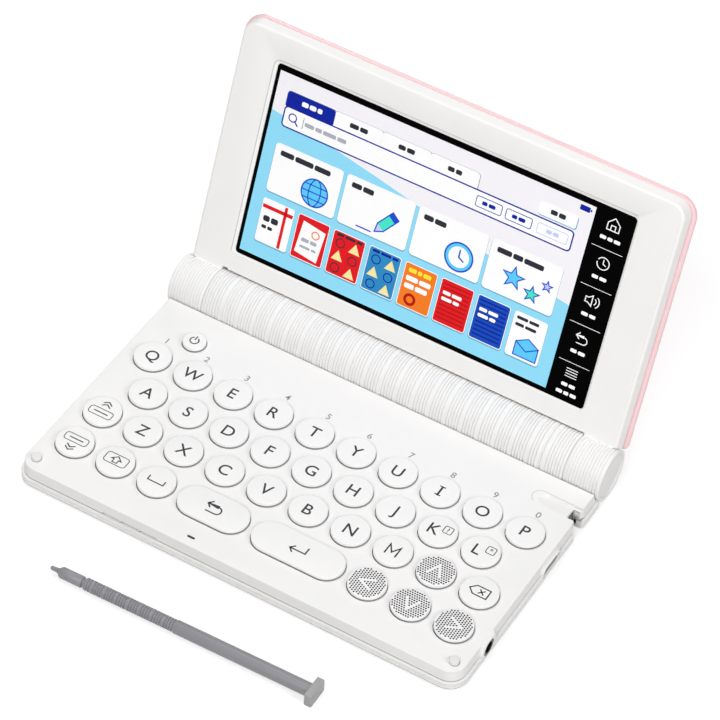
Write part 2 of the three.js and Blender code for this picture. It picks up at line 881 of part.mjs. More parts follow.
function lidOutline(half, top, inset) {
  return roundedOutline(
    inset - half, half - inset, 0, top - inset, smallestRadius, lidCornerRadius - inset,
  );
}

function barrelClear(radius) {
  return rod(-halfWidth - overrun, halfWidth + overrun, radius, barrelFacets * 2);
}

function glassOutline(grow) {
  return roundedOutline(
    -glassHalf - grow, glassHalf + grow, glassBottom - grow, glassTop + grow, glassCornerRadius + grow,
  );
}

function lidBezel() {
  const panel = loft([
    { outline: lidOutline(bezelHalf, bezelTop, 0), level: bezelBackD },
    { outline: lidOutline(bezelHalf, bezelTop, bezelDraft), level: faceD - bezelEdge },
    { outline: lidOutline(bezelHalf, bezelTop, bezelDraft + bezelEdge / 3), level: faceD - bezelEdge / 3 },
    { outline: lidOutline(bezelHalf, bezelTop, bezelDraft + bezelEdge), level: faceD },
  ]);
  const bevel = loft([
    { outline: glassOutline(fitGap), level: glassFaceD },
    { outline: glassOutline(windowBevel), level: faceD },
    { outline: glassOutline(windowBevel), level: faceD + overrun },
  ]);
  const seat = prism(glassOutline(fitGap), ledgeD, faceD);
  const display = prism(glassOutline(fitGap - displayLedge), bezelBackD - overrun, ledgeD + overrun);
  const hollow = prism(
    roundedOutline(
      bezelWall - bezelHalf, bezelHalf - bezelWall, lidCavityBottom, bezelTop - bezelWall,
      smallestRadius, lidCornerRadius - bezelWall,
    ),
    bezelBackD - overrun, faceD - bezelPlate,
  );
  const frame = cut(panel, [
    barrelClear(barrelRadius + lidBarrelGap), bevel, seat, display, hollow,
  ]);
  const neck = block(
    endInnerX, bezelHalf - bezelSlit, barrelRadius / 2, lidCavityBottom, bezelBackD, faceD,
  );
  const end = ribbedEnd();
  return join([frame, neck, mirrored(neck), end, mirrored(end)]);
}

function lidBackCover() {
  const shell = loft([
    { outline: lidOutline(coverHalf, lidReach, coverEdge * 2), level: coverBackD },
    { outline: lidOutline(coverHalf, lidReach, coverEdge / 2), level: coverBackD + coverEdge / 3 },
    { outline: lidOutline(coverHalf, lidReach, 0), level: coverBackD + coverEdge },
    { outline: lidOutline(coverHalf, lidReach, 0), level: coverFrontD },
  ]);
  const hollow = prism(
    roundedOutline(
      bezelWall - bezelHalf, bezelHalf - bezelWall, lidCavityBottom, bezelTop - bezelWall,
      smallestRadius, lidCornerRadius - bezelWall,
    ),
    coverBackD + coverFloor, coverFrontD + overrun,
  );
  return cut(shell, [barrelClear(barrelRadius + lidBarrelGap), hollow]);
}

function touchGlass() {
  return prism(glassOutline(0), glassBackD, glassFaceD);
}

function displayModule() {
  const front = glassBackD - fitGap;
  return prism(glassOutline(-displayLedge), front - displayThickness, front);
}

// Stylus along its own X axis, the nib's end at its origin
function stylus() {
  const holderStart = stylusNibLength;
  const holderEnd = holderStart + stylusHolderLength;
  const gripStart = holderEnd + stylusNeckLength;
  const gripEnd = gripStart + stylusGripLength;
  const ringPitch = stylusGripLength / stylusRingCount;
  const points = [
    [0, 0],
    [0, stylusNibRadius],
    [holderStart - stylusChamfer, stylusNibRadius],
    [holderStart, stylusNeckRadius],
    [holderStart + stylusChamfer, stylusHolderRadius],
    [holderEnd, stylusHolderRadius],
    [holderEnd, stylusNeckRadius],
    [gripStart, stylusNeckRadius],
    [gripStart, stylusGripRadius],
  ];
  for (let ring = 0; ring < stylusRingCount; ring += 1) {
    const start = gripStart + (ring + 0.5) * ringPitch - stylusRingWidth / 2;
    points.push(...[
      [start, stylusGripRadius],
      [start + stylusRingWidth / 2, stylusGripRadius - stylusRingDepth],
      [start + stylusRingWidth, stylusGripRadius],
    ]);
  }
  points.push([gripEnd, stylusGripRadius], [gripEnd + stylusChamfer, stylusRadius]);
  points.push([stylusLength, stylusRadius], [stylusLength, 0]);
  const headOutline = (inset) => roundedOutline(
    inset - stylusHeadWidth / 2, stylusHeadWidth / 2 - inset,
    inset - stylusHeadHeight / 2, stylusHeadHeight / 2 - inset, stylusHeadEdge,
  );
  const head = loft([
    { outline: headOutline(0), level: stylusLength - stylusHeadLength },
    { outline: headOutline(0), level: stylusLength - stylusHeadEdge },
    { outline: headOutline(stylusHeadEdge), level: stylusLength },
  ]).rotate([90, 0, 90]);
  return join([turned(points, stylusFacets), head]);
}

// Assembly

const caseWhite = { color: 0xefeeec, roughness: 0.5, metalness: 0 };
const keyWhite = { color: 0xf3f2f1, roughness: 0.45, metalness: 0 };
const barrelWhite = { color: 0xf0efee, roughness: 0.5, metalness: 0 };
const coverPink = { color: 0xf4c9ca, roughness: 0.3, metalness: 0 };
const glassBlack = { color: 0x08080a, roughness: 0.08, metalness: 0 };
const displayGrey = { color: 0x9fb8d8, roughness: 0.3, metalness: 0 };
const boardGreen = { color: 0x2f6b45, roughness: 0.6, metalness: 0 };
const matGrey = { color: 0xc9c9c6, roughness: 0.8, metalness: 0 };
const rubberGrey = { color: 0xb8b8b6, roughness: 0.9, metalness: 0 };
const plasticBlack = { color: 0x161617, roughness: 0.4, metalness: 0 };
const steel = { color: 0xb9bcc0, roughness: 0.3, metalness: 1 };
const cellGreen = { color: 0x3c7d57, roughness: 0.35, metalness: 0.4 };
const stylusGrey = { color: 0x96969b, roughness: 0.5, metalness: 0 };

function piece(name, body, finish) {
  const mesh = new THREE.Mesh(toGeometry(body), new THREE.MeshStandardMaterial(finish));
  mesh.name = name;
  return mesh;
}

const model = new THREE.Group();

model.add(
  piece('base_top_case', baseTopCase(), caseWhite),
  piece('base_bottom_case', baseBottomCase(), caseWhite),
  piece('battery_barrel', batteryBarrel(), barrelWhite),
  piece('battery_cover', batteryCover(), barrelWhite),
  piece('battery_cell_left', atBarrel(batteryCell(-fitGap / 2 - cellLength - cellNubLength)), cellGreen),
  piece('battery_cell_right', atBarrel(batteryCell(fitGap / 2)), cellGreen),
  piece('battery_contact_left', mirrored(batteryContact()), steel),
  piece('battery_contact_right', batteryContact(), steel),
  piece('hinge_shaft_left', mirrored(hingeShaft()), steel),
  piece('hinge_shaft_right', hingeShaft(), steel),
  piece('main_board', mainBoard(), boardGreen),
  piece('key_mat', keyMat(), matGrey),
  piece('speaker', speaker(), plasticBlack),
  piece('earphone_jack', earphoneJack(), plasticBlack),
  piece('data_port', dataPort(), steel),
  piece('foot_left', foot(footSideInset - halfWidth), rubberGrey),
  piece('foot_right', foot(halfWidth - footSideInset), rubberGrey),
  ...keys.map((key) => piece(key.name, keyCap(key), keyWhite)),
);

const lid = new THREE.Group();
lid.position.set(0, barrelAxisY, barrelAxisZ);
lid.rotation.x = lidTurn;
lid.add(
  piece('lid_bezel', lidBezel(), caseWhite),
  piece('lid_back_cover', lidBackCover(), coverPink),
  piece('touch_glass', touchGlass(), glassBlack),
  piece('display_module', displayModule(), displayGrey),
);
model.add(lid);

// The stylus rests on its head and on the front end of its grip
const pen = piece('stylus', stylus(), stylusGrey);
const gripStart = stylusNibLength + stylusHolderLength + stylusNeckLength;
const headStart = stylusLength - stylusHeadLength;
const gripDrop = stylusHeadHeight / 2 - stylusGripRadius * Math.cos(Math.PI / stylusFacets);
const stylusTilt = Math.asin(gripDrop / (headStart - gripStart));
pen.rotation.set(0, -stylusTilt, stylusTurn * toRadians, 'ZYX');
pen.position.set(stylusTipX, stylusTipY, stylusHeadHeight / 2 - headStart * Math.sin(stylusTilt));
model.add(pen);

// The origin is the middle of the footprint, on the table
const part = new THREE.Group();
part.add(model);
part.updateMatrixWorld(true);
const bounds = new THREE.Box3().setFromObject(part, true);
model.position.y = -(bounds.min.y + bounds.max.y) / 2;

export default part;
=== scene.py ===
import json
import math

import bmesh
import bpy
from mathutils import Matrix, Vector

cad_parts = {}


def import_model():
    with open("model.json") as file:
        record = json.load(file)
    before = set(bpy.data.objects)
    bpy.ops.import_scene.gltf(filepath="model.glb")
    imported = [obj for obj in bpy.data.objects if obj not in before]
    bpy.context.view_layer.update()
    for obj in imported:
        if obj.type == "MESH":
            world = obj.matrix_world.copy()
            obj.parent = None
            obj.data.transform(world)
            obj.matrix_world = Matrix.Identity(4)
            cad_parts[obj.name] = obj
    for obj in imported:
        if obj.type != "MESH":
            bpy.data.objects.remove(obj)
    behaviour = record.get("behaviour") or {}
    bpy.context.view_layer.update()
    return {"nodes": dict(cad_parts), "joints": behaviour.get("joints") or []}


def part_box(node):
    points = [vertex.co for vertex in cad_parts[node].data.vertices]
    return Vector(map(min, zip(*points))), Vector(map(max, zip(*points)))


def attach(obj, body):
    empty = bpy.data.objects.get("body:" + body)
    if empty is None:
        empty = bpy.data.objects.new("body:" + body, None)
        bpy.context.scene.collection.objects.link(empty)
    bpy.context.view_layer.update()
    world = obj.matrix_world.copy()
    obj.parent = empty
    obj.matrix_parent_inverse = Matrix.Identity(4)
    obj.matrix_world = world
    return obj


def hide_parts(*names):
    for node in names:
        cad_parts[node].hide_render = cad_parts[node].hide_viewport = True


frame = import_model()

# Looks of a pocket electronic dictionary. Lengths are in millimetres until a piece is placed.
# Base pieces are drawn with the front edge of the rim at y = 0. Lid pieces are drawn with the barrel's
# axis at v = 0, v up the screen and d out of its face.
MM = 0.001

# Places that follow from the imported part
NODES = frame["nodes"]
LID_HINGE = next(j for j in frame["joints"] if j["name"] == "lid_hinge")
RIM_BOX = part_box("base_bottom_case")
ROUND_KEY_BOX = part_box("key_q")
FRONT_Y = RIM_BOX[0].y
HALF_WIDTH = RIM_BOX[1].x / MM
DEPTH = (RIM_BOX[1].y - FRONT_Y) / MM
AXIS_Y = (LID_HINGE["pos_m"][1] - FRONT_Y) / MM
AXIS_Z = LID_HINGE["pos_m"][2] / MM

# Camera
LENS = 182.8
CAMERA_PLACE = (337.04, -586.75, 788.43)
CAMERA_RIGHT = Vector((0.86030, 0.50670, 0.05605))
CAMERA_UP = Vector((-0.39740, 0.59771, 0.69629))

# How far cutters reach past what they cut, the pinhole that turned bodies keep round their axis, and
# the gap between neighbouring pieces
OVERRUN = 2
CUTTER_CORE = 0.001
CORE = 0.01
FIT_GAP = 0.3

# Base case
FOOT_HEIGHT = 0.6
RIM_TOP = 3.35
SEAM_TOP = 3.65
DECK_Z = 7.45
DECK_UNDER = 6.05
FLOOR_TOP = 1.7
FRONT_RADIUS = 6
REAR_RADIUS = 1.4
WALL_INSET = 0.75
WALL_DRAFT = 0.3
DECK_ROUND = 0.3
CASE_WALL = 1.3
LIP_INSET = 2.35
LIP_WALL = 0.8
LIP_TOP = 4.55
RIM_RIBS = 640
RIM_RIB_DEPTH = 0.15
RIB_DIPS = (0, 0, 0.75, 1, 1, 0.75)
SHADE_TOP = FOOT_HEIGHT + 0.82

# Details of the deck and the walls
BUMPER_X = 69.5
BUMPER_Y = 5.3
BUMPER_RADIUS = 1.5
BUMPER_HEIGHT = 1.15
BUMPER_ROUND = 0.25
STATUS_X = -15.95
STATUS_Y = 4.2
STATUS_LENGTH = 2.6
STATUS_WIDTH = 0.85
OUTLET_STARTS = (-43.7, -37.35, -31.0)
OUTLET_LENGTH = 5.8
OUTLET_TOP = SEAM_TOP + 0.5
OUTLET_BACK = WALL_INSET + 0.7
SCREW_PLACES = ((-64, 14), (64, 30), (-64, 64), (0, 12), (0, 64), (48, 64))
SCREW_RADIUS = 1.9
SCREW_SINK = FOOT_HEIGHT + 0.8
PLATE_HALF_LENGTH = 26
PLATE_HALF_WIDTH = 11
PLATE_Y = 38

# Stylus silo, its notch and the ramp in front of it
SILO_Y = 72.35
SILO_Z = 3.9
SILO_RADIUS = 2.2
SILO_DEPTH = 86.5
TROUGH_WALL = 1.2
NOTCH_X = 70.2
NOTCH_FRONT = 69.8
NOTCH_REAR = 74.7
NOTCH_RIM_FRONT = 68.8
NOTCH_RIM_REAR = 74.1
NOTCH_ROUND = 0.8
SCOOP_LENGTH = 10
SCOOP_DEPTH = 1.15
SCOOP_WIDTH = 5.1
SCOOP_FRONT = 70.15

# Sockets in the right wall
JACK_Y = 18.05
JACK_Z = 3.75
JACK_SEAT = 2.75
JACK_FLARE = 0.17
JACK_BOSS = 4.2
COLLAR_RADIUS = 2.62
COLLAR_BORE = 1.75
PORT_Y = 55
PORT_Z = 3.2
PORT_WIDTH = 9.6
PORT_HEIGHT = 4.2
PORT_CORNER = 1.4
PORT_INSET = 1.2
PORT_SLOPE = 0.4
PORT_RIM = 0.35
PORT_FLARE = 0.12
BOSS_FLARE = 0.9
BOSS_CURVE = 1.8
BOSS_STEPS = 6

# Keys
KEY_DIAMETER = 11.44
KEY_HOLE_GAP = 0.24
KEY_TOP = DECK_Z + 1.3
KEY_ROUND = 0.28
KEY_BOTTOM = 5.2
# Dark ring at the foot of each key cap, set off to the right: painted shade in the gap round the key
GAP_SHADE_PROUD = 0.16
GAP_SHADE_SHIFT = 0.1
GAP_SHADE_TOP = 0.38
POWER_DIAMETER = 7.2
COLUMN_PITCH = 14.07
DIGIT_X = -0.25
DIGIT_Y = 66.3
DOT_PITCH = 0.76
DOT_ROW_PITCH = 0.78
DOT_RADIUS = 0.274
DOT_MARGIN = 0.38
ARROW_TIP_ROW = 3
ARROW_END_ROW = -2

# Barrel
BARREL_RADIUS = 8.4
BARREL_HALF = 61.8
BARREL_EDGE = 0.1
END_START = 62.1
END_RADIUS = 8.25
END_EDGE = 0.4
END_RIM = 0.7
END_RECESS = 0.55
BAY_HALF = 53.8
BAY_RADIUS = 7.4
BAY_START = -130
BAY_END = 12
TONGUE_HALF = 57
TONGUE_FRONT = 77.5
TONGUE_BACK = -7.6
TONGUE_LEVELS = (2.2, 5.6)
GRIP_ANGLE = -38
GRIP_STEP = 10
GRIP_HALF_LENGTH = 6
GRIP_HALF_WIDTH = 0.4
GROOVE_PITCH = 0.95
GROOVE_WIDTH = 0.44
GROOVE_DEPTH = 0.36
GROOVE_SHOULDER = 0.8
GROOVE_TONE_SHARE = 0.7
GROUP_GROOVES = 5
GROUP_COUNT = 22
FIRST_GROOVE = 1.8
EDGE_GROOVE = 0.85
END_GROOVES = 11
END_FIRST_GROOVE = 1.05
END_GROOVE_DEPTH = 0.2
END_GROOVE_WIDTH = 0.34

# Lid
LID_TURN = math.radians(71)
LID_REACH = 89.2
LID_STEPS = 14
FACE_D = -0.95
BEZEL_BACK_D = -5.1
BEZEL_HALF = 73.2
BEZEL_TOP = 88.74
BEZEL_DRAFT = 0.5
BEZEL_ROUND = 0.9
LID_RADIUS = 5.2
LID_CLEAR = 8.94
NECK_FOOT = 4.2
NECK_OUTER = 71.6
NECK_CLEAR = 8.5
COVER_HALF = 74.5
COVER_FOOT = 6.4
COVER_FOOT_RADIUS = 1.8
COVER_RADIUS = 6.4
COVER_FRONT_D = -5.4
COVER_BACK_D = -7.5
COVER_EDGE = ((1.5, 0), (0.95, 0.08), (0.4, 0.27), (0.12, 0.5), (0, 0.78))
COVER_FRONT_EDGE = ((0, 0.75), (0.08, 0.42), (0.3, 0.15), (0.65, 0))
GLASS_HALF = 59.35
GLASS_BOTTOM = 15.35
GLASS_TOP = 78.95
GLASS_RADIUS = 1.1
GLASS_FACE_D = -1.45
GLASS_BACK_D = -2.55
GLASS_GAP = 0.12
WINDOW_BEVEL = 1.2

# Picture on the display
VIEW_LEFT = -58.2
VIEW_RIGHT = 46.7
VIEW_BOTTOM = 16.9
VIEW_TOP = 77.1
PICTURE_D = GLASS_FACE_D + 0.004
LAYER = 0.012
WORD_GAP = 0.45
TAB_LEFT = -54.3
TAB_PITCH = 16.1
TAB_WIDTH = 16.3
TAB_BOTTOM = 66.6
TAB_TOP = 72.1
CARD_PITCH = 24.45
CARD_WIDTH = 23.2
CARD_LEFT = -54.2
CARD_BOTTOM = 38.9
CARD_TOP = 55
TILE_PITCH = 12.24
TILE_WIDTH = 10.9
TILE_BOTTOM = 21.9
TILE_TOP = 36.4
SIDE_X = 53.1
TONES = {
    "sky": "8ED7F2", "header": "EFEDF1", "white": "F8F8F8", "navy": "0A2199", "blue": "1F49C6",
    "azure": "5CC6F4", "mint": "45E0C2", "pale_blue": "BFC9F2", "dark": "2C2C36",
    "line_grey": "A9ABB6", "shadow": "6FA9C4", "red": "DE1620", "sea": "2C86BE", "orange": "EE7A22",
    "cobalt": "1049B4", "brick": "B4130F", "yellow": "F7E03A", "cream": "F3E3A0",
}

# Printed marks, and thin lines of painted shade made the same way
INK_THICKNESS = 0.015
INK_LIFT = 0.001
CAP_STEPS = 6
CAPITAL_SHARE = 0.729
LETTER_HEIGHT = 4.1
LETTER_WEIGHT = 0.007
DIGIT_HEIGHT = 2.3
DIGIT_WEIGHT = 0.01
HEAVY_LINE = 0.46
LINE = 0.4
THIN_LINE = 0.27

# Stylus
STYLUS_X = -45.6
STYLUS_Y = -22.9
STYLUS_LENGTH = 87.4
STYLUS_RADIUS = 2.05
NIB_LENGTH = 0.65
NIB_RADIUS = 0.64
GRIP_RADIUS = 1.9
GRIP_START = 11.7
GRIP_END = 41.3
GRIP_RINGS = 4
GRIP_GROUPS = 8
RING_PITCH = 0.82
RING_GROUP_PITCH = 3.92
RING_DEPTH = 0.3
RING_WIDTH = 0.5
HEAD_LENGTH = 2.4
HEAD_HALF_WIDTH = 3.8
HEAD_HALF_HEIGHT = 2.3
HEAD_START = STYLUS_LENGTH - HEAD_LENGTH
STYLUS_TURN = math.radians(1)
STYLUS_TILT = math.asin((HEAD_HALF_HEIGHT - GRIP_RADIUS) / (HEAD_START - GRIP_START))

SIDES = {-1: "left", 1: "right"}
base_space = Matrix.Translation((0, FRONT_Y, 0)) @ Matrix.Scale(MM, 4)
barrel_space = base_space @ Matrix.Translation((0, AXIS_Y, AXIS_Z))
lid_space = barrel_space @ Matrix.Rotation(LID_TURN, 4, "X")

# Space that a piece is drawn in, and the body that it rides on
BASE = (base_space, "base")
BARREL = (barrel_space, "base")
BATTERY_COVER = (barrel_space, "cover")
LID = (lid_space, "lid")

# Stands up a shape that was drawn flat, so that its height goes along X
STAND = Matrix(((0, 0, 1, 0), (1, 0, 0, 0), (0, 1, 0, 0), (0, 0, 0, 1)))


# Materials, by the names that the pieces ask for

finishes = {}


def colour(hex_text):
    """sRGB text such as F0F0EE as linear values."""
    channels = [int(hex_text[i:i + 2], 16) / 255 for i in (0, 2, 4)]
    linear = [c / 12.92 if c <= 0.04045 else ((c + 0.055) / 1.055) ** 2.4 for c in channels]
    return (*linear, 1)


def shade(rgba, factor):
    return (*[min(c * factor, 1) for c in rgba[:3]], 1)


def set_inputs(node, **values):
    """Sets a shader node's inputs by name, with an underscore for each space."""
    for name, value in values.items():
        node.inputs[name.replace("_", " ")].default_value = value
    return node


def add_node(tree, kind, **values):
    return set_inputs(tree.nodes.new("ShaderNode" + kind), **values)


def moulded(name, hex_text, roughness, variation, grain=900, bump=0.03, coat=0.0, metallic=0.0,
            specular=0.5, emission=0.0):
    """Moulded or painted surface: fine grain in its height, slow changes in its tone and gloss."""
    material = bpy.data.materials.new(name)
    material.use_nodes = True
    tree = material.node_tree
    tone = colour(hex_text)
    shader = set_inputs(tree.nodes["Principled BSDF"], Metallic=metallic, Specular_IOR_Level=specular,
                        Coat_Weight=coat, Coat_Roughness=0.12)
    place = add_node(tree, "TexCoord")
    slow = add_node(tree, "TexNoise", Scale=60, Detail=3)
    fine = add_node(tree, "TexNoise", Scale=grain * 10, Detail=2)
    tones = add_node(tree, "ValToRGB")
    tones.color_ramp.elements[0].color = shade(tone, 1 - variation)
    tones.color_ramp.elements[1].color = shade(tone, 1 + variation)
    tones.color_ramp.elements[0].position = 0.3
    tones.color_ramp.elements[1].position = 0.7
    gloss = add_node(tree, "MapRange", To_Min=max(roughness - 0.04, 0.02), To_Max=roughness + 0.06)
    height = add_node(tree, "Bump", Strength=bump, Distance=0.05 * MM)
    link = tree.links.new
    for noise in (slow, fine):
        link(place.outputs["Object"], noise.inputs["Vector"])
    link(slow.outputs["Fac"], tones.inputs["Fac"])
    link(tones.outputs["Color"], shader.inputs["Base Color"])
    link(slow.outputs["Fac"], gloss.inputs["Value"])
    link(gloss.outputs["Result"], shader.inputs["Roughness"])
    link(fine.outputs["Fac"], height.inputs["Height"])
    link(height.outputs["Normal"], shader.inputs["Normal"])
    if emission:
        link(tones.outputs["Color"], shader.inputs["Emission Color"])
        set_inputs(shader, Emission_Strength=emission)
    finishes[name] = material


moulded("case_white", "F1F0EE", 0.5, 0.012)
moulded("deck_white", "F1F0EF", 0.55, 0.01)
moulded("key_white", "F4F3F2", 0.42, 0.01, bump=0.02)
moulded("barrel_white", "F1F0EF", 0.5, 0.012)
moulded("bezel_white", "F7F6F4", 0.5, 0.01)
moulded("cover_pink", "F4CFD2", 0.32, 0.02, coat=0.2)
moulded("edge_shade_grey", "CFCED4", 0.6, 0.03)
moulded("groove_shade_grey", "E1E0E2", 0.55, 0.02)
moulded("arrow_grey", "F3F2F2", 0.35, 0.012, bump=0.02)
moulded("legend_ink", "2E2E30", 0.5, 0.08)
moulded("dot_ink", "0B0B0C", 0.6, 0.08, specular=0.2)
moulded("digit_ink", "8F8F91", 0.55, 0.04)
moulded("glass_black", "010101", 0.12, 0.1, bump=0.0, specular=0.02)
moulded("slot_dark", "2B2B2D", 0.5, 0.08)
moulded("shadow_grey", "9A9A9A", 0.7, 0.04)
# Painted shade: dark grey for the gaps round the keys and the upper edges of the sound outlets
moulded("painted_shade_grey", "89888B", 0.7, 0.04)
# Painted shade round the foot of each bumper
moulded("bumper_shade_grey", "A3A2A5", 0.7, 0.03)
# Bumpers: a little greyer than the deck, partly as painted shade
moulded("bumper_white", "E6E5E4", 0.5, 0.012)
moulded("rim_shade", "B2B1B3", 0.6, 0.02)
moulded("seam_shade_grey", "A6A5A7", 0.7, 0.04)
# Port flap grey: painted shade of the port's recess
moulded("port_shade_grey", "8E8D8F", 0.6, 0.03)
moulded("black_plastic", "070708", 0.35, 0.15)
moulded("steel", "B9BCC0", 0.28, 0.03, metallic=1)
moulded("rubber_grey", "B9B9B7", 0.8, 0.04, bump=0.15)
moulded("board_green", "2F6B45", 0.45, 0.12, grain=300, bump=0.1)
moulded("mat_grey", "C9C9C6", 0.75, 0.03, bump=0.1)
moulded("cell_green", "3C7D57", 0.3, 0.06, coat=0.4)
moulded("stylus_grey", "8E8E92", 0.42, 0.04, bump=0.05)
moulded("stylus_light", "A3A4A3", 0.45, 0.03, bump=0.05)
moulded("display_grey", "A8B8CC", 0.3, 0.04)

# Lit areas of the display, with the faint unevenness of its backlight
for tone_name, tone_hex in TONES.items():
    moulded(f"lit_{tone_name}", tone_hex, 0.3, 0.006, bump=0.0, specular=0.1, emission=0.12)


# Shapes

def arc(cx, cy, radius, start, end, steps=16):
    angles = [math.radians(start + (end - start) * i / steps) for i in range(steps + 1)]
    return [(cx + radius * math.cos(a), cy + radius * math.sin(a)) for a in angles]


def circle(cx, cy, radius, steps=32):
    return arc(cx, cy, radius, 0, 360, steps)[:-1]


def rounded(x0, x1, y0, y1, radius, rear=None, steps=12):
    """Rectangle with rounded corners, counter-clockwise, from the front right corner on."""
    rear = radius if rear is None else rear
    points = []
    corners = ((x1, y0, -1, 1, radius, -90), (x1, y1, -1, -1, rear, 0),
               (x0, y1, 1, -1, rear, 90), (x0, y0, 1, 1, radius, 180))
    for x, y, along, across, wanted, start in corners:
        r = max(wanted, 0.05)
        points += arc(x + along * r, y + across * r, r, start, start + 90, steps)
    return points


def stadium(x, y, length, width, steps=48):
    """Circle, or a longer outline with half-round ends."""
    radius = width / 2
    reach = max(length / 2 - radius, 0)
    right = arc(x + reach, y, radius, -90, 90, steps // 2)
    left = arc(x - reach, y, radius, 90, 270, steps // 2)
    return right + (left if reach else left[1:-1])


def round_over(radius, steps):
    """How far in and how far down a rounded edge is, from its lower end to its upper one."""
    angles = [math.radians(90 * i / steps) for i in range(steps + 1)]
    return [(radius * (1 - math.cos(a)), radius * (1 - math.sin(a))) for a in angles]


def loft(rings):
    """Closed mesh through rings of (outline, level)."""
    count = len(rings[0][0])
    verts = [(x, y, level) for outline, level in rings for x, y in outline]
    faces = [tuple(range(count))[::-1]]
    for ring in range(len(rings) - 1):
        for i in range(count):
            a, b = ring * count + i, ring * count + (i + 1) % count
            faces.append((a, b, b + count, a + count))
    last = (len(rings) - 1) * count
    faces.append(tuple(range(last, last + count)))
    return verts, faces


def prism(outline, low, high):
    return loft([(outline, low), (outline, high)])


def box(x0, x1, y0, y1, z0, z1):
    return prism([(x1, y0), (x1, y1), (x0, y1), (x0, y0)], z0, z1)


def lathe(profile, steps=96, start=0.0, turn=360.0):
    """Body turned about the X axis from (along, radius) points that begin and end on the axis, or, for
    part of a turn, from a closed loop of points."""
    full = turn == 360
    angles = [math.radians(start + turn * i / steps) for i in range(steps if full else steps + 1)]
    verts = [(x, r * math.cos(a), r * math.sin(a)) for a in angles for x, r in profile]
    count, rows = len(profile), len(angles)
    faces = []
    for row in range(rows if full else rows - 1):
        for i in range(count - 1 if full else count):
            a, b = row * count + i, row * count + (i + 1) % count
            c, d = ((row + 1) % rows) * count + (i + 1) % count, ((row + 1) % rows) * count + i
            faces.append((a, b, c, d))
    if full:
        faces += [tuple(row * count + end for row in range(rows)) for end in (0, count - 1)]
    else:
        faces += [tuple(range(count))[::-1], tuple(range((rows - 1) * count, rows * count))]
    return verts, faces


def rod(start, end, radius, steps=128, core=CUTTER_CORE):
    """Cylinder along the X axis."""
    return lathe([(start, core), (start, radius), (end, radius), (end, core)], steps)


def moved(shape, matrix):
    verts, faces = shape
    return [tuple(matrix @ Vector(v)) for v in verts], faces


def at(shape, x, y, z=0):
    return moved(shape, Matrix.Translation((x, y, z)))


def turned(points, degrees, x, y):
    """Flat points turned about the origin and then moved."""
    spin = Matrix.Rotation(math.radians(degrees), 2)
    return [tuple(spin @ Vector(p) + Vector((x, y))) for p in points]


def joined(*shapes):
    verts, faces = [], []
    for more_verts, more_faces in shapes:
        offset = len(verts)
        verts += more_verts
        faces += [tuple(i + offset for i in face) for face in more_faces]
    return verts, faces


def plate(verts, faces, low, high):
    """Flat faces given a thickness, with walls along their free edges."""
    count = len(verts)
    used = {(a, face[(i + 1) % len(face)]) for face in faces for i, a in enumerate(face)}
    walls = [(a, b, b + count, a + count) for a, b in sorted(used) if (b, a) not in used]
    solid_verts = [(x, y, level) for level in (low, high) for x, y in verts]
    solid_faces = [tuple(reversed(f)) for f in faces]
    solid_faces += [tuple(i + count for i in f) for f in faces]
    return solid_verts, solid_faces + walls


def filled(points):
    return points, [tuple(range(len(points)))]


def ribbon(points, width, closed=False):
    """Flat stroke along a line of points, with mitred corners and round ends."""
    path = [Vector(p) for p in points]
    count = len(path)
    half = width / 2
    left, right = [], []
    for i, p in enumerate(path):
        before = path[i - 1] if closed or i > 0 else None
        after = path[(i + 1) % count] if closed or i < count - 1 else None
        into = (p - before).normalized() if before is not None else (after - p).normalized()
        out = (after - p).normalized() if after is not None else into
        normal = Vector((-(into.y + out.y), into.x + out.x)).normalized()
        mitre = half / max(normal.dot(Vector((-out.y, out.x))), 0.35)
        left.append(p + normal * mitre)
        right.append(p - normal * mitre)
    verts = [tuple(v) for v in left + right]
    faces = []
    for i in range(count if closed else count - 1):
        j = (i + 1) % count
        faces.append((i, i + count, j + count, j))
    if not closed:
        for end, side in ((0, left), (count - 1, right)):
            first = side[end] - path[end]
            turns = [Matrix.Rotation(math.pi * i / CAP_STEPS, 2) for i in range(1, CAP_STEPS)]
            indices = range(len(verts), len(verts) + len(turns))
            verts += [tuple(path[end] + turn @ first) for turn in turns]
            ends = (end, end + count) if end == 0 else (end + count, end)
            faces.append((ends[0], *indices, ends[1]))
    return verts, faces


def ink(figures, low=0):
    """One thin solid from several flat figures."""
    return joined(*[plate(verts, faces, low, low + INK_THICKNESS) for verts, faces in figures])


# Pieces

def mesh_from(name, shape, space):
    verts, faces = shape
    mesh = bpy.data.meshes.new(name)
    mesh.from_pydata([space @ Vector(v) for v in verts], [], faces)
    work = bmesh.new()
    work.from_mesh(mesh)
    bmesh.ops.recalc_face_normals(work, faces=work.faces)
    work.to_mesh(mesh)
    work.free()
    return mesh


def soften(mesh, angle):
    """Smooth shading, with sharp edges where faces meet at more than an angle."""
    work = bmesh.new()
    work.from_mesh(mesh)
    limit = math.radians(angle)
    for face in work.faces:
        face.smooth = True
    for edge in work.edges:
        edge.smooth = len(edge.link_faces) == 2 and edge.calc_face_angle(math.pi) < limit
    work.to_mesh(mesh)
    work.free()


def carve(obj, cutter_meshes):
    """Cuts closed meshes out of a piece, one after another."""
    helpers = []
    for mesh in cutter_meshes:
        helper = bpy.data.objects.new("cutter", mesh)
        bpy.context.scene.collection.objects.link(helper)
        cut = obj.modifiers.new("cut", "BOOLEAN")
        cut.operation = "DIFFERENCE"
        cut.solver = "EXACT"
        cut.object = helper
        helpers.append(helper)
    evaluated = obj.evaluated_get(bpy.context.evaluated_depsgraph_get())
    result = bpy.data.meshes.new_from_object(evaluated)
    obj.modifiers.clear()
    obj.data = result
    for helper in helpers:
        bpy.data.objects.remove(helper)


def finish(obj, material):
    """Gives an object this material in place of its own."""
    obj.data.materials.clear()
    obj.data.materials.append(finishes[material])


def second_finish(obj, material, chosen):
    """Gives the chosen faces of a piece another material."""
    obj.data.materials.append(finishes[material])
    for face in obj.data.polygons:
        if chosen(face):
            face.material_index = 1


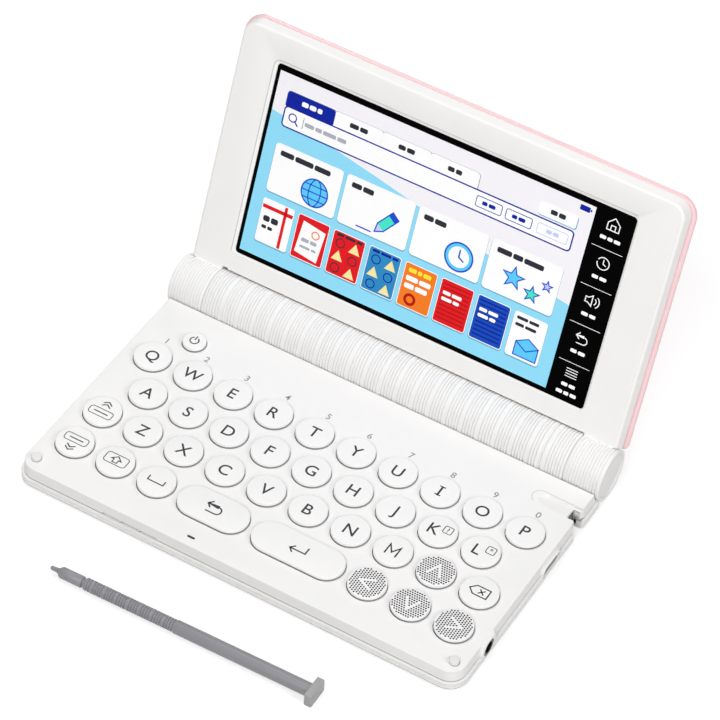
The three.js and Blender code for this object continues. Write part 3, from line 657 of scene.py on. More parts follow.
def piece(name, shape, material, replaces=(), cutters=(), on=BASE, angle=32):
    """New visible piece, cut by the cutters, in the material of that name."""
    space, body = on
    obj = bpy.data.objects.new(name, mesh_from(name, shape, space))
    bpy.context.scene.collection.objects.link(obj)
    if cutters:
        carve(obj, [mesh_from("cutter", cutter, space) for cutter in cutters])
    soften(obj.data, angle)
    finish(obj, material)
    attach(obj, body)
    if replaces:
        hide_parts(*replaces)
    return obj


def text_shape(text, height, low, high, weight=LETTER_WEIGHT):
    """Letters as a thin solid, centred on the cap height and on their own width."""
    curve = bpy.data.curves.new("letters", "FONT")
    curve.body = text
    curve.resolution_u = 5
    curve.extrude = 0.5
    curve.offset = weight
    obj = bpy.data.objects.new("letters", curve)
    bpy.context.scene.collection.objects.link(obj)
    bpy.context.view_layer.update()
    mesh = bpy.data.meshes.new_from_object(obj.evaluated_get(bpy.context.evaluated_depsgraph_get()))
    verts = [v.co.copy() for v in mesh.vertices]
    faces = [tuple(p.vertices) for p in mesh.polygons]
    bpy.data.objects.remove(obj)
    bpy.data.curves.remove(curve)
    bpy.data.meshes.remove(mesh)
    middle = (min(v.x for v in verts) + max(v.x for v in verts)) / 2
    scale = height / CAPITAL_SHARE
    placed = [((v.x - middle) * scale, v.y * scale - height / 2, low if v.z < 0 else high) for v in verts]
    return placed, faces


# Base

def base_outline(inset, steps=12):
    return rounded(-HALF_WIDTH + inset, HALF_WIDTH - inset, inset, DEPTH - inset,
                   FRONT_RADIUS - inset, REAR_RADIUS - inset, steps)


def key_place(node):
    """Centre of a key and the length and width of its cap."""
    low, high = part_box(node)
    x = (low.x + high.x) / 2 / MM
    y = ((low.y + high.y) / 2 - FRONT_Y) / MM
    if node == "key_power":
        return x, y, POWER_DIAMETER, POWER_DIAMETER
    spare = (high.x - low.x) - (ROUND_KEY_BOX[1].x - ROUND_KEY_BOX[0].x)
    return x, y, KEY_DIAMETER + max(spare / MM, 0), KEY_DIAMETER


KEY_NODES = sorted(n for n in NODES if n.startswith("key_") and n != "key_mat")


def barrel_cutter(gaps=1):
    """Room for the barrel, some fitting gaps wide, across the whole base."""
    reach = HALF_WIDTH + OVERRUN
    return at(rod(-reach, reach, BARREL_RADIUS + gaps * FIT_GAP), 0, AXIS_Y, AXIS_Z)


def notch_cutter(front, rear, wall):
    """Room for the stylus head, its two corners with the outer wall rounded."""
    r = NOTCH_ROUND
    outside = wall + 2 * OVERRUN
    outline = [(NOTCH_X, rear), (NOTCH_X, front), *arc(wall - r, front - r, r, 90, 0, 8),
               (outside, front - r), (outside, rear + r), *arc(wall - r, rear + r, r, 0, -90, 8)]
    return prism(outline, -OVERRUN, DECK_Z + OVERRUN)


def rim_notch_cutter():
    return notch_cutter(NOTCH_RIM_FRONT, NOTCH_RIM_REAR, HALF_WIDTH)


def silo_cutter():
    silo = rod(NOTCH_X - SILO_DEPTH, NOTCH_X + 0.1, SILO_RADIUS, 48, CORE)
    return at(silo, 0, SILO_Y, SILO_Z)


def in_jack_wall(shape):
    return at(shape, 0, JACK_Y, JACK_Z)


def jack_cutter():
    """Seat of the jack's collar, a little wider at the surface."""
    inner, outside = HALF_WIDTH - 3, HALF_WIDTH + OVERRUN
    mouth = JACK_SEAT + JACK_FLARE
    return in_jack_wall(lathe([
        (inner, CUTTER_CORE), (inner, JACK_SEAT), (HALF_WIDTH - 0.15, JACK_SEAT),
        (HALF_WIDTH + 0.02, mouth), (outside, mouth), (outside, CUTTER_CORE),
    ], 64))


def port_outline(grow):
    half_width, half_height = PORT_WIDTH / 2 + grow, PORT_HEIGHT / 2 + grow
    return rounded(-half_width, half_width, -half_height, half_height, PORT_CORNER + grow, steps=8)


def in_port_wall(shape):
    return moved(shape, Matrix.Translation((0, PORT_Y, PORT_Z)) @ STAND)


def port_cutter():
    return in_port_wall(loft([
        (port_outline(-PORT_SLOPE), HALF_WIDTH - PORT_INSET), (port_outline(0), HALF_WIDTH - 0.1),
        (port_outline(PORT_FLARE), HALF_WIDTH + 0.02), (port_outline(PORT_FLARE), HALF_WIDTH + OVERRUN),
    ]))


def outlet_cutter():
    return joined(*[box(left, left + OUTLET_LENGTH, -OVERRUN, OUTLET_BACK, SEAM_TOP - 1, OUTLET_TOP)
                    for left in OUTLET_STARTS])


def scoop_cutter():
    """Sloping floor of the fingertip ramp, which runs down towards the back."""
    outline = stadium(0, SCOOP_WIDTH / 2, 2 * SCOOP_LENGTH, SCOOP_WIDTH)
    tilt = math.atan2(SCOOP_DEPTH, SCOOP_WIDTH)
    place = Matrix.Translation((NOTCH_X, SCOOP_FRONT, DECK_Z)) @ Matrix.Rotation(-tilt, 4, "X")
    return moved(prism(outline, 0, OVERRUN), place)


def status_outline(gap):
    return stadium(STATUS_X, STATUS_Y, STATUS_LENGTH - gap, STATUS_WIDTH - gap, 16)


def upper_case():
    rings = [(base_outline(WALL_INSET + 0.1), SEAM_TOP), (base_outline(WALL_INSET), SEAM_TOP + 0.1)]
    rings += [(base_outline(WALL_INSET + WALL_DRAFT + draw_in), DECK_Z - drop)
              for draw_in, drop in round_over(DECK_ROUND, 5)]
    cavity = prism(base_outline(WALL_INSET + CASE_WALL), SEAM_TOP - OVERRUN, DECK_UNDER)
    holes = []
    for node in KEY_NODES:
        x, y, length, width = key_place(node)
        hole = stadium(x, y, length + 2 * KEY_HOLE_GAP, width + 2 * KEY_HOLE_GAP)
        holes.append(prism(hole, DECK_UNDER - 1, DECK_Z + 1))
    wall = HALF_WIDTH - WALL_INSET - WALL_DRAFT
    cutters = [
        cavity, joined(*holes), prism(status_outline(0), DECK_Z - 0.5, DECK_Z + 1), silo_cutter(),
        notch_cutter(NOTCH_FRONT, NOTCH_REAR, wall), scoop_cutter(), jack_cutter(), port_cutter(),
        barrel_cutter(), outlet_cutter(),
    ]
    piece("upper_case_shell", loft(rings), "deck_white", ["base_top_case"], cutters)
    lens = prism(status_outline(0.1), DECK_Z - 0.6, DECK_Z - 0.12)
    piece("status_lens", lens, "slot_dark")


def scoop_edge_shade():
    """Fine grey line of painted shade along the rounded end and the rear edge of the fingertip ramp."""
    radius = SCOOP_WIDTH / 2
    left, middle = NOTCH_X - SCOOP_LENGTH, SCOOP_FRONT + radius
    line = [*arc(left, middle, radius, 240, 90), (NOTCH_X - 0.6, middle + radius)]
    piece("scoop_edge_shade", ink([ribbon(line, 0.24)], DECK_Z + INK_LIFT), "edge_shade_grey", angle=1)


def socket_bosses():
    """Flared swellings of the upper wall round the two sockets, flush with the bottom rim."""
    root = HALF_WIDTH - WALL_INSET - CASE_WALL
    jack = [(root, CUTTER_CORE), (root, JACK_BOSS + BOSS_FLARE)]
    port = [(port_outline(PORT_RIM + BOSS_FLARE), root)]
    for i in range(BOSS_STEPS + 1):
        share = i / BOSS_STEPS
        along = HALF_WIDTH - BOSS_FLARE + BOSS_FLARE * share
        out = BOSS_FLARE * (1 - share) ** BOSS_CURVE
        jack.append((along, JACK_BOSS + out))
        port.append((port_outline(PORT_RIM + out), along))
    jack.append((HALF_WIDTH, CUTTER_CORE))
    far = 80
    trims = [box(0, far, 0, far, low, high)
             for low, high in ((-OVERRUN, SEAM_TOP), (DECK_Z - 0.25, DECK_Z + OVERRUN))]
    piece("jack_boss", in_jack_wall(lathe(jack)), "deck_white",
          cutters=[*trims, jack_cutter()])
    piece("port_boss", in_port_wall(loft(port)), "deck_white",
          cutters=[*trims, port_cutter()])


def port_cover():
    """Flap in the port's recess, grey as painted shade of the recess, with a small black patch that paints
    the shade of a slot for the fingernail.
    """
    face, edge = HALF_WIDTH - 0.65, HALF_WIDTH - 0.75
    back = HALF_WIDTH - PORT_INSET - 0.05
    flap = loft([(port_outline(-0.45), back), (port_outline(-0.45), edge), (port_outline(-0.6), face)])
    piece("port_flap", in_port_wall(flap), "port_shade_grey")
    slot = prism(stadium(3.4, 0.9, 1.5, 1, 16), HALF_WIDTH - 0.66, HALF_WIDTH - 0.6)
    piece("port_flap_slot_shade", in_port_wall(slot), "black_plastic")


def jack_collar():
    """Black collar of the earphone jack with its deep bore."""
    outer, inner = HALF_WIDTH - 0.22, HALF_WIDTH - 2.4
    profile = [
        (inner, CUTTER_CORE), (inner, COLLAR_RADIUS), (outer - 0.12, COLLAR_RADIUS),
        (outer, COLLAR_RADIUS - 0.12), (outer, COLLAR_BORE + 0.2), (outer - 0.1, COLLAR_BORE + 0.1),
        (inner + 0.5, COLLAR_BORE), (inner + 0.5, CUTTER_CORE),
    ]
    piece("jack_collar", in_jack_wall(lathe(profile, 64)), "black_plastic",
          ["earphone_jack"])


def bumper(side):
    """Moulded bumper with a softened upper edge and a ring of painted shade round its foot; its slightly
    grey tone is partly painted shade.
    """
    rings = [(BUMPER_RADIUS + 0.05, -0.3), (BUMPER_RADIUS + 0.05, 0), (BUMPER_RADIUS, 0.06)]
    rings += [(BUMPER_RADIUS - draw_in, BUMPER_HEIGHT - drop)
              for draw_in, drop in round_over(BUMPER_ROUND, 5)]
    foot = prism(stadium(side * BUMPER_X + 0.08, BUMPER_Y, 0, 2 * BUMPER_RADIUS + 0.2, 40),
                 DECK_Z - 0.2, DECK_Z + 0.16)
    piece(f"bumper_shade_ring_{SIDES[side]}", foot, "bumper_shade_grey")
    shape = loft([(stadium(side * BUMPER_X, BUMPER_Y, 0, 2 * r, 40), DECK_Z + z) for r, z in rings])
    piece(f"bumper_{SIDES[side]}", shape, "bumper_white", angle=50)


def ribbed_outline(inset, depth):
    """Base outline with fine upright ribs all round."""
    corners = base_outline(inset, 24)
    count = len(corners)
    lengths = [math.dist(corners[i], corners[(i + 1) % count]) for i in range(count)]
    total = sum(lengths)
    samples = RIM_RIBS * len(RIB_DIPS)
    points, edge, done = [], 0, 0.0
    for i in range(samples):
        target = total * i / samples
        while done + lengths[edge] < target:
            done += lengths[edge]
            edge += 1
        a, b = Vector(corners[edge]), Vector(corners[(edge + 1) % count])
        share = (target - done) / lengths[edge] if lengths[edge] else 0
        along = (b - a).normalized()
        dip = depth * RIB_DIPS[i % len(RIB_DIPS)]
        points.append(tuple(a.lerp(b, share) + Vector((-along.y, along.x)) * dip))
    return points


def lower_case():
    levels = [
        (0.75, FOOT_HEIGHT, 0), (0.3, FOOT_HEIGHT + 0.15, 0), (0, FOOT_HEIGHT + 0.55, 0), (0, SHADE_TOP, 0),
        (0, SHADE_TOP + 0.08, RIM_RIB_DEPTH), (0, RIM_TOP - 0.3, RIM_RIB_DEPTH), (0, RIM_TOP - 0.2, 0),
        (0.05, RIM_TOP - 0.05, 0), (0.12, RIM_TOP, 0),
    ]
    rings = [(ribbed_outline(inset, depth), level) for inset, level, depth in levels]
    cavity = prism(base_outline(LIP_INSET + LIP_WALL), FLOOR_TOP, RIM_TOP + OVERRUN)
    screw_rooms = joined(*[prism(circle(x, y, SCREW_RADIUS + 0.5), -1, SCREW_SINK)
                           for x, y in SCREW_PLACES])
    plate_room = prism(rounded(-PLATE_HALF_LENGTH, PLATE_HALF_LENGTH, PLATE_Y - PLATE_HALF_WIDTH,
                               PLATE_Y + PLATE_HALF_WIDTH, 2), -1, FOOT_HEIGHT + 0.2)
    cutters = [cavity, barrel_cutter(), rim_notch_cutter(), jack_cutter(), port_cutter(), screw_rooms,
               plate_room]
    shell = piece("lower_case_shell", loft(rings), "case_white", ["base_bottom_case"],
                  cutters)

    # Painted shade: the faces low on the outside of the rim, just above the floor, get a greyer material
    def low_on_rim(face):
        return FOOT_HEIGHT + 0.5 < face.center.z / MM < SHADE_TOP and abs(face.normal.z) < 0.1

    second_finish(shell, "rim_shade", low_on_rim)
    # The lip is painted grey: painted shade in the seam behind the gap between the halves
    lip = prism(base_outline(LIP_INSET), FLOOR_TOP - 0.1, LIP_TOP)
    hollow = prism(base_outline(LIP_INSET + LIP_WALL), FLOOR_TOP - 1, LIP_TOP + 1)
    cutters = [hollow, barrel_cutter(3), rim_notch_cutter(), jack_cutter(), port_cutter(), silo_cutter()]
    piece("seam_lip", lip, "shadow_grey", cutters=cutters)


def seam_shade():
    """Painted shade: a grey ring in the gap between the two halves, and dark strips along the upper edge
    and the left end of each sound outlet.
    """
    ring = prism(base_outline(WALL_INSET + 0.06), RIM_TOP - 0.05, SEAM_TOP + 0.05)
    hollow = prism(base_outline(LIP_INSET), RIM_TOP - 1, SEAM_TOP + 1)
    cutters = [hollow, barrel_cutter(3), rim_notch_cutter(), jack_cutter(), port_cutter(), outlet_cutter()]
    piece("seam_shade", ring, "seam_shade_grey", cutters=cutters)
    back, top = OUTLET_BACK, OUTLET_TOP
    shapes = []
    for left in OUTLET_STARTS:
        shapes.append(box(left, left + OUTLET_LENGTH, back - 0.5, back, top - 0.08, top + 0.05))
        shapes.append(box(left - 0.05, left + 0.3, back - 0.4, back, SEAM_TOP - 0.1, top))
    piece("outlet_edge_shade", joined(*shapes), "painted_shade_grey")


def stylus_trough():
    """Walls of the silo and of the notch inside the case."""
    wall = TROUGH_WALL
    front, back = SILO_Y - SILO_RADIUS - wall, SILO_Y + SILO_RADIUS + wall
    trough = box(NOTCH_X - SILO_DEPTH - wall, NOTCH_X, front, back, FLOOR_TOP - 0.1, DECK_UNDER - FIT_GAP)
    piece("stylus_trough", trough, "case_white", cutters=[silo_cutter()])
    walls = box(NOTCH_X - wall, HALF_WIDTH - WALL_INSET - CASE_WALL + 0.1, NOTCH_RIM_FRONT - wall,
                NOTCH_REAR + wall, FOOT_HEIGHT + 0.2, DECK_UNDER + 0.1)
    upper_notch = notch_cutter(NOTCH_FRONT, NOTCH_REAR, HALF_WIDTH)
    piece("notch_walls", walls, "case_white",
          cutters=[silo_cutter(), upper_notch, rim_notch_cutter(), barrel_cutter()])


def screws():
    """Cross-head screws in the underside."""
    head = FOOT_HEIGHT + 0.15
    for i, (x, y) in enumerate(SCREW_PLACES):
        rim = circle(x, y, SCREW_RADIUS)
        shape = loft([(circle(x, y, SCREW_RADIUS - 0.35), head), (rim, head + 0.3),
                      (rim, SCREW_SINK + 0.1)])
        slots = [box(x - long, x + long, y - wide, y + wide, head - 1, head + 0.4)
                 for long, wide in ((1.1, 0.2), (0.2, 1.1))]
        piece(f"screw_{i + 1}", shape, "steel", cutters=slots)


# Keys

def key_cap(node):
    x, y, length, width = key_place(node)
    on = (base_space, f"{node}_body")
    rings = [(stadium(x, y, length, width), KEY_BOTTOM)]
    rings += [(stadium(x, y, length - 2 * draw_in, width - 2 * draw_in), KEY_TOP - drop)
              for draw_in, drop in round_over(KEY_ROUND, 6)]
    # Dark ring round the foot of the cap: painted shade in the gap between the key and the deck
    gap_shade = prism(stadium(x + GAP_SHADE_SHIFT, y, length + GAP_SHADE_PROUD, width + GAP_SHADE_PROUD),
                  KEY_BOTTOM + 0.1, DECK_Z + GAP_SHADE_TOP)
    piece(f"{node}_skirt", gap_shade, "painted_shade_grey", on=on)
    plain = node not in ("key_left", "key_right", "key_up", "key_down")
    piece(f"{node}_cap", loft(rings), "key_white" if plain else "arrow_grey", [node], on=on)


def print_on_key(name, node, shape, material):
    x, y = key_place(node)[:2]
    piece(name, at(shape, x, y, KEY_TOP + INK_LIFT), material, on=(base_space, f"{node}_body"), angle=1)


def chevron(cx, cy, width, height, direction):
    """Open V that points up, down, left or right."""
    degrees = {"up": 0, "left": 90, "down": 180, "right": 270}[direction]
    return turned([(-width / 2, -height / 2), (0, height / 2), (width / 2, -height / 2)], degrees, cx, cy)


def frame_stroke(cx, cy, width, height, radius, line):
    outline = rounded(cx - width / 2, cx + width / 2, cy - height / 2, cy + height / 2, radius, steps=6)
    return ribbon(outline, line, closed=True)


def page_marks(side):
    """Two open V shapes and a framed line, upright for one key and upside down for the other."""
    direction = "up" if side > 0 else "down"
    return [ribbon(chevron(0, side * 3.4, 2.6, 0.9, direction), LINE),
            ribbon(chevron(0, side * 2.3, 2.6, 0.9, direction), LINE),
            frame_stroke(0, side * -0.9, 7.6, 2.9, 0.9, THIN_LINE),
            ribbon([(-2.2, side * -0.9), (2.2, side * -0.9)], LINE)]


def function_symbols():
    """Symbols of the function keys, drawn about the middle of the key."""
    arrow = [(0, 1.8), (-1.6, 0.4), (-0.75, 0.4), (-0.75, -0.8), (0.75, -0.8), (0.75, 0.4), (1.6, 0.4)]
    hook = [(-2.1, 1), (1.4, 1), *arc(1.4, -0.4, 1.4, 90, -90, 12), (-1.5, -1.8)]
    tag = [(-3.1, 0), (-1.4, 1.7), (2.9, 1.7), (2.9, -1.7), (-1.4, -1.7)]
    return {
        "previous": page_marks(1),
        "next": page_marks(-1),
        "shift": [frame_stroke(0, 0.45, 7.2, 3.9, 0.9, THIN_LINE), ribbon(arrow, 0.34, closed=True)],
        "space": [ribbon([(-2.6, 0.8), (-2.6, -0.8), (2.6, -0.8), (2.6, 0.8)], LINE)],
        "back": [ribbon(hook, HEAVY_LINE), ribbon(chevron(-1.7, 1, 2.4, 1.2, "left"), HEAVY_LINE)],
        "enter": [ribbon([(2.6, 1.7), (2.6, -0.6), (-2.2, -0.6)], HEAVY_LINE),
                  ribbon(chevron(-1.8, -0.6, 2.4, 1.2, "left"), HEAVY_LINE)],
        "delete": [ribbon(tag, LINE, closed=True), ribbon([(0, 0.75), (1.5, -0.75)], LINE),
                   ribbon([(0, -0.75), (1.5, 0.75)], LINE)],
        "power": [ribbon(arc(0, 0, 1.35, 125, 415, 24), LINE), ribbon([(0, 0.4), (0, 1.8)], LINE)],
    }


def small_mark(text):
    """Little framed sign beside a letter."""
    return joined(ink([frame_stroke(0, 0, 2.7, 2.7, 0.5, 0.26)]), text_shape(text, 1.8, 0, INK_THICKNESS))


def letter_shape(letter):
    """Capital letter, with the M and the serifs of the I drawn from given points and a mark beside K and L.
    """
    half = LETTER_HEIGHT / 2
    if letter == "m":
        legs = [(-1.7, -half), (-1.7, half - 0.35), (0, -0.95), (1.7, half - 0.35), (1.7, -half)]
        return ink([ribbon(legs, 0.5)])
    shape = text_shape(letter.upper(), LETTER_HEIGHT, 0, INK_THICKNESS)
    if letter == "i":
        serifs = [ribbon([(-0.8, side * 1.72), (0.8, side * 1.72)], LINE) for side in (-1, 1)]
        return joined(shape, ink(serifs))
    if letter in "kl":
        return joined(at(shape, -1.2, 0), at(small_mark("?" if letter == "k" else "*"), 2.5, 1.5))
    return shape


def key_legend(node, symbols):
    key = node[len("key_"):]
    if len(key) == 1:
        print_on_key(f"{node}_legend", node, letter_shape(key), "legend_ink")
    elif key in symbols:
        print_on_key(f"{node}_legend", node, ink(symbols[key]), "legend_ink")


def arrow_dots(node, direction):
    """Staggered rows of printed dots, without those on two slanting lines that form the arrow."""
    width = key_place(node)[3]
    limit = width / 2 - DOT_MARGIN
    upright, sign = direction in ("up", "down"), 1 if direction in ("up", "right") else -1
    dots = []
    rows = int(width / DOT_PITCH)
    for row in range(-rows, rows + 1):
        for column in range(-rows, rows + 1):
            along, across = (column + (row + 1) % 2 / 2) * DOT_PITCH, row * DOT_ROW_PITCH
            p = Vector((along, sign * across) if upright else (sign * across, along))
            leg = (ARROW_TIP_ROW - row) * DOT_PITCH / 2
            bare = ARROW_END_ROW <= row <= ARROW_TIP_ROW and abs(abs(along) - leg) < DOT_RADIUS
            if p.length <= limit and not bare:
                dots.append(filled(circle(p.x, p.y, DOT_RADIUS, 10)))
    print_on_key(f"{node}_dots", node, ink(dots), "dot_ink")


def digits():
    """Plain numbers behind the top row of keys."""
    low, high = DECK_Z + INK_LIFT, DECK_Z + INK_THICKNESS
    shapes = [at(text_shape(digit, DIGIT_HEIGHT, low, high, DIGIT_WEIGHT),
                 (i - 4.5) * COLUMN_PITCH + DIGIT_X, DIGIT_Y) for i, digit in enumerate("1234567890")]
    piece("deck_digits", joined(*shapes), "digit_ink", angle=1)


# Barrel

def grounded(shape):
    """Flattens what would reach through the table."""
    verts, faces = shape
    return [(x, y, max(z, 0.01 - AXIS_Z)) for x, y, z in verts], faces


def grooves(centres, radius, depth, width=GROOVE_WIDTH):
    """Profile points of round-bottomed grooves at the centres."""
    shoulder = radius - depth * GROOVE_SHOULDER
    return [point for c in centres for point in (
        (c - width / 2, radius), (c - width / 4, shoulder), (c, radius - depth),
        (c + width / 4, shoulder), (c + width / 2, radius))]


def paint_groove_shade(obj, radius, depth):
    """Paints shade into the groove bottoms by giving their faces a greyer material."""
    to_barrel = barrel_space.inverted()
    low, high = BAY_RADIUS + 0.3, radius - depth * GROOVE_TONE_SHARE

    def sunk(face):
        centre = to_barrel @ face.center
        return low < math.hypot(centre.y, centre.z) < high and abs(face.normal.x) < 0.9

    second_finish(obj, "groove_shade_grey", sunk)


def barrel_profile(start, end):
    """Outer line of the centre section between two places, as (along, radius) points."""
    first = FIRST_GROOVE - BARREL_HALF
    period = (-2 * first - (GROUP_GROOVES - 1) * GROOVE_PITCH) / (GROUP_COUNT - 1)
    centres = [first + group * period + i * GROOVE_PITCH
               for group in range(GROUP_COUNT) for i in range(GROUP_GROOVES)]
    centres = [EDGE_GROOVE - BARREL_HALF, *centres, BARREL_HALF - EDGE_GROOVE]
    inside = [c for c in centres if start + GROOVE_WIDTH < c < end - GROOVE_WIDTH]
    low = BARREL_RADIUS - BARREL_EDGE
    return [(start, low), (start + BARREL_EDGE, BARREL_RADIUS),
            *grooves(inside, BARREL_RADIUS, GROOVE_DEPTH),
            (end - BARREL_EDGE, BARREL_RADIUS), (end, low)]


def shell_loop(half):
    return barrel_profile(-half, half) + [(half, BAY_RADIUS), (-half, BAY_RADIUS)]


def barrel():
    """Centre section with its battery bay, and the cover that closes the bay from below."""
    middle = lathe(shell_loop(BAY_HALF), 72, BAY_END, 360 - (BAY_END - BAY_START))
    ends = [lathe([(low, CORE), *barrel_profile(low, high), (high, CORE)], 120)
            for low, high in ((-BARREL_HALF, -BAY_HALF), (BAY_HALF, BARREL_HALF))]
    tongue = box(-TONGUE_HALF, TONGUE_HALF, TONGUE_FRONT - AXIS_Y, TONGUE_BACK,
                 *[level - AXIS_Z for level in TONGUE_LEVELS])
    shell = piece("battery_barrel_shell", grounded(joined(middle, *ends, tongue)), "barrel_white",
                  ["battery_barrel"], on=BARREL, angle=50)
    paint_groove_shade(shell, BARREL_RADIUS, GROOVE_DEPTH)
    gap = math.degrees(FIT_GAP / BAY_RADIUS)
    cover = lathe(shell_loop(BAY_HALF - FIT_GAP), 64, BAY_START + gap, BAY_END - BAY_START - 2 * gap)
    rib = box(-GRIP_HALF_LENGTH, GRIP_HALF_LENGTH, BAY_RADIUS + 0.5, BARREL_RADIUS + 0.2,
              -GRIP_HALF_WIDTH, GRIP_HALF_WIDTH)
    grips = [moved(rib, Matrix.Rotation(math.radians(GRIP_ANGLE + i * GRIP_STEP), 4, "X"))
             for i in range(-2, 3)]
    shell = piece("battery_cover_shell", grounded(joined(cover, *grips)), "barrel_white",
                  ["battery_cover"], on=BATTERY_COVER, angle=50)
    paint_groove_shade(shell, BARREL_RADIUS, GROOVE_DEPTH)


def barrel_end(side):
    """Ribbed end section of the barrel with its sunk disc, which turns with the lid."""
    start, end = END_START, HALF_WIDTH
    centres = [start + END_FIRST_GROOVE + i * GROOVE_PITCH for i in range(END_GROOVES)]
    points = [(start, CORE), (start, END_RADIUS - BARREL_EDGE), (start + BARREL_EDGE, END_RADIUS),
              *grooves(centres, END_RADIUS, END_GROOVE_DEPTH, END_GROOVE_WIDTH)]
    points += [(end - drop, END_RADIUS - draw_in) for draw_in, drop in round_over(END_EDGE, 5)]
    disc = END_RADIUS - END_EDGE - END_RIM
    points += [(end, disc), (end - 0.12, disc - 0.12), (end - END_RECESS, disc - 0.35),
               (end - END_RECESS, CORE)]
    section = piece(f"barrel_end_{SIDES[side]}", lathe([(side * x, r) for x, r in points], 120),
                    "barrel_white", on=LID, angle=50)
    paint_groove_shade(section, END_RADIUS, END_GROOVE_DEPTH)


# Lid

def bezel_outline(inset):
    return rounded(-BEZEL_HALF + inset, BEZEL_HALF - inset, NECK_FOOT, BEZEL_TOP - inset, 0.05,
                   LID_RADIUS - inset, LID_STEPS)


def cover_outline(inset):
    return rounded(-COVER_HALF + inset, COVER_HALF - inset, COVER_FOOT + inset, LID_REACH - inset,
                   COVER_FOOT_RADIUS - min(inset, 1), COVER_RADIUS - inset, LID_STEPS)


def lid_hollow(low, high):
    return prism(rounded(-71.4, 71.4, 11, 87, 0.5, 3.4), low, high)


def glass_outline(grow):
    """Outline round the glass, which grows less at the foot and at the right."""
    return rounded(-GLASS_HALF - grow, GLASS_HALF + 0.5 * grow, GLASS_BOTTOM - 0.4 * grow,
                   GLASS_TOP + grow, GLASS_RADIUS + grow, steps=8)


def bezel():
    rings = [(bezel_outline(0.1), BEZEL_BACK_D), (bezel_outline(0), BEZEL_BACK_D + 0.1)]
    rings += [(bezel_outline(BEZEL_DRAFT + draw_in), FACE_D - drop)
              for draw_in, drop in round_over(BEZEL_ROUND, 8)]
    window = loft([(glass_outline(grow), d) for grow, d in (
        (GLASS_GAP, BEZEL_BACK_D - 1), (GLASS_GAP, GLASS_FACE_D + 0.02), (0.55, GLASS_FACE_D + 0.12),
        (WINDOW_BEVEL - 0.2, FACE_D - 0.08), (WINDOW_BEVEL, FACE_D), (WINDOW_BEVEL, FACE_D + 1))])
    cutters = [window, lid_hollow(BEZEL_BACK_D - 1, FACE_D - 2.95), rod(-END_START, END_START, LID_CLEAR),
               rod(-END_START, 2 - END_START, LID_CLEAR + 0.4)]
    cutters += [rod(side * NECK_OUTER, side * (HALF_WIDTH + 1), NECK_CLEAR) for side in (-1, 1)]
    piece("lid_bezel_panel", loft(rings), "bezel_white", ["lid_bezel"], cutters, on=LID)


def window_edge_shade():
    """Soft grey line of painted shade where the bezel starts to dip towards the glass, along its left and
    top edges.
    """
    left, top, r = -GLASS_HALF - WINDOW_BEVEL, GLASS_TOP + WINDOW_BEVEL, GLASS_RADIUS + WINDOW_BEVEL
    line = [(left, GLASS_BOTTOM), *arc(left + r, top - r, r, 180, 90, 8), (GLASS_HALF, top)]
    piece("window_edge_shade", ink([ribbon(line, 0.28)], FACE_D + INK_LIFT), "edge_shade_grey",
          on=LID, angle=1)


def back_cover():
    rings = [(cover_outline(inset), COVER_BACK_D + rise) for inset, rise in COVER_EDGE]
    rings += [(cover_outline(inset), COVER_FRONT_D - drop) for inset, drop in COVER_FRONT_EDGE]
    cutters = [rod(-COVER_HALF - 1, COVER_HALF + 1, LID_CLEAR),
               lid_hollow(COVER_BACK_D + 1.2, COVER_FRONT_D + 1)]
    piece("lid_cover_shell", loft(rings), "cover_pink", ["lid_back_cover"], cutters, on=LID)


def glass():
    rings = [(glass_outline(0), GLASS_BACK_D), (glass_outline(0), GLASS_FACE_D - 0.1),
             (glass_outline(-0.1), GLASS_FACE_D)]
    piece("touch_pane", loft(rings), "glass_black", ["touch_glass"], on=LID)


# Picture on the display: plain shapes and symbols, with bars where words would be

pictures = {}


def draw(tone, figure, layer):
    low = PICTURE_D + layer * LAYER
    pictures.setdefault(tone, []).append(plate(*figure, low, low + LAYER))


def fill(tone, points, layer):
    draw(tone, filled(points), layer)


def stroke(tone, points, width, layer, closed=False):
    draw(tone, ribbon(points, width, closed), layer)


def card(tone, x0, x1, v0, v1, radius, layer):
    fill(tone, rounded(x0, x1, v0, v1, radius, steps=6), layer)


def words(tone, x, v, lengths, height, layer):
    """Bars that stand for a line of words, from its left end on."""
    for length in lengths:
        card(tone, x, x + length, v - height / 2, v + height / 2, height / 3, layer)
        x += length + WORD_GAP


def background():
    card("sky", VIEW_LEFT, VIEW_RIGHT, VIEW_BOTTOM, VIEW_TOP, 0.05, 0)
    slope = [(VIEW_LEFT, 64.3), (-42, 61.6), (-20, 57.4), (-6, 54.4), (14, 49.9), (VIEW_RIGHT, 44.8),
             (VIEW_RIGHT, VIEW_TOP), (VIEW_LEFT, VIEW_TOP)]
    fill("header", slope, 1)
    card("navy", 41.9, 45.1, 74.5, 76.2, 0.3, 2)
    card("navy", 45.2, 45.7, 75, 75.7, 0.1, 2)


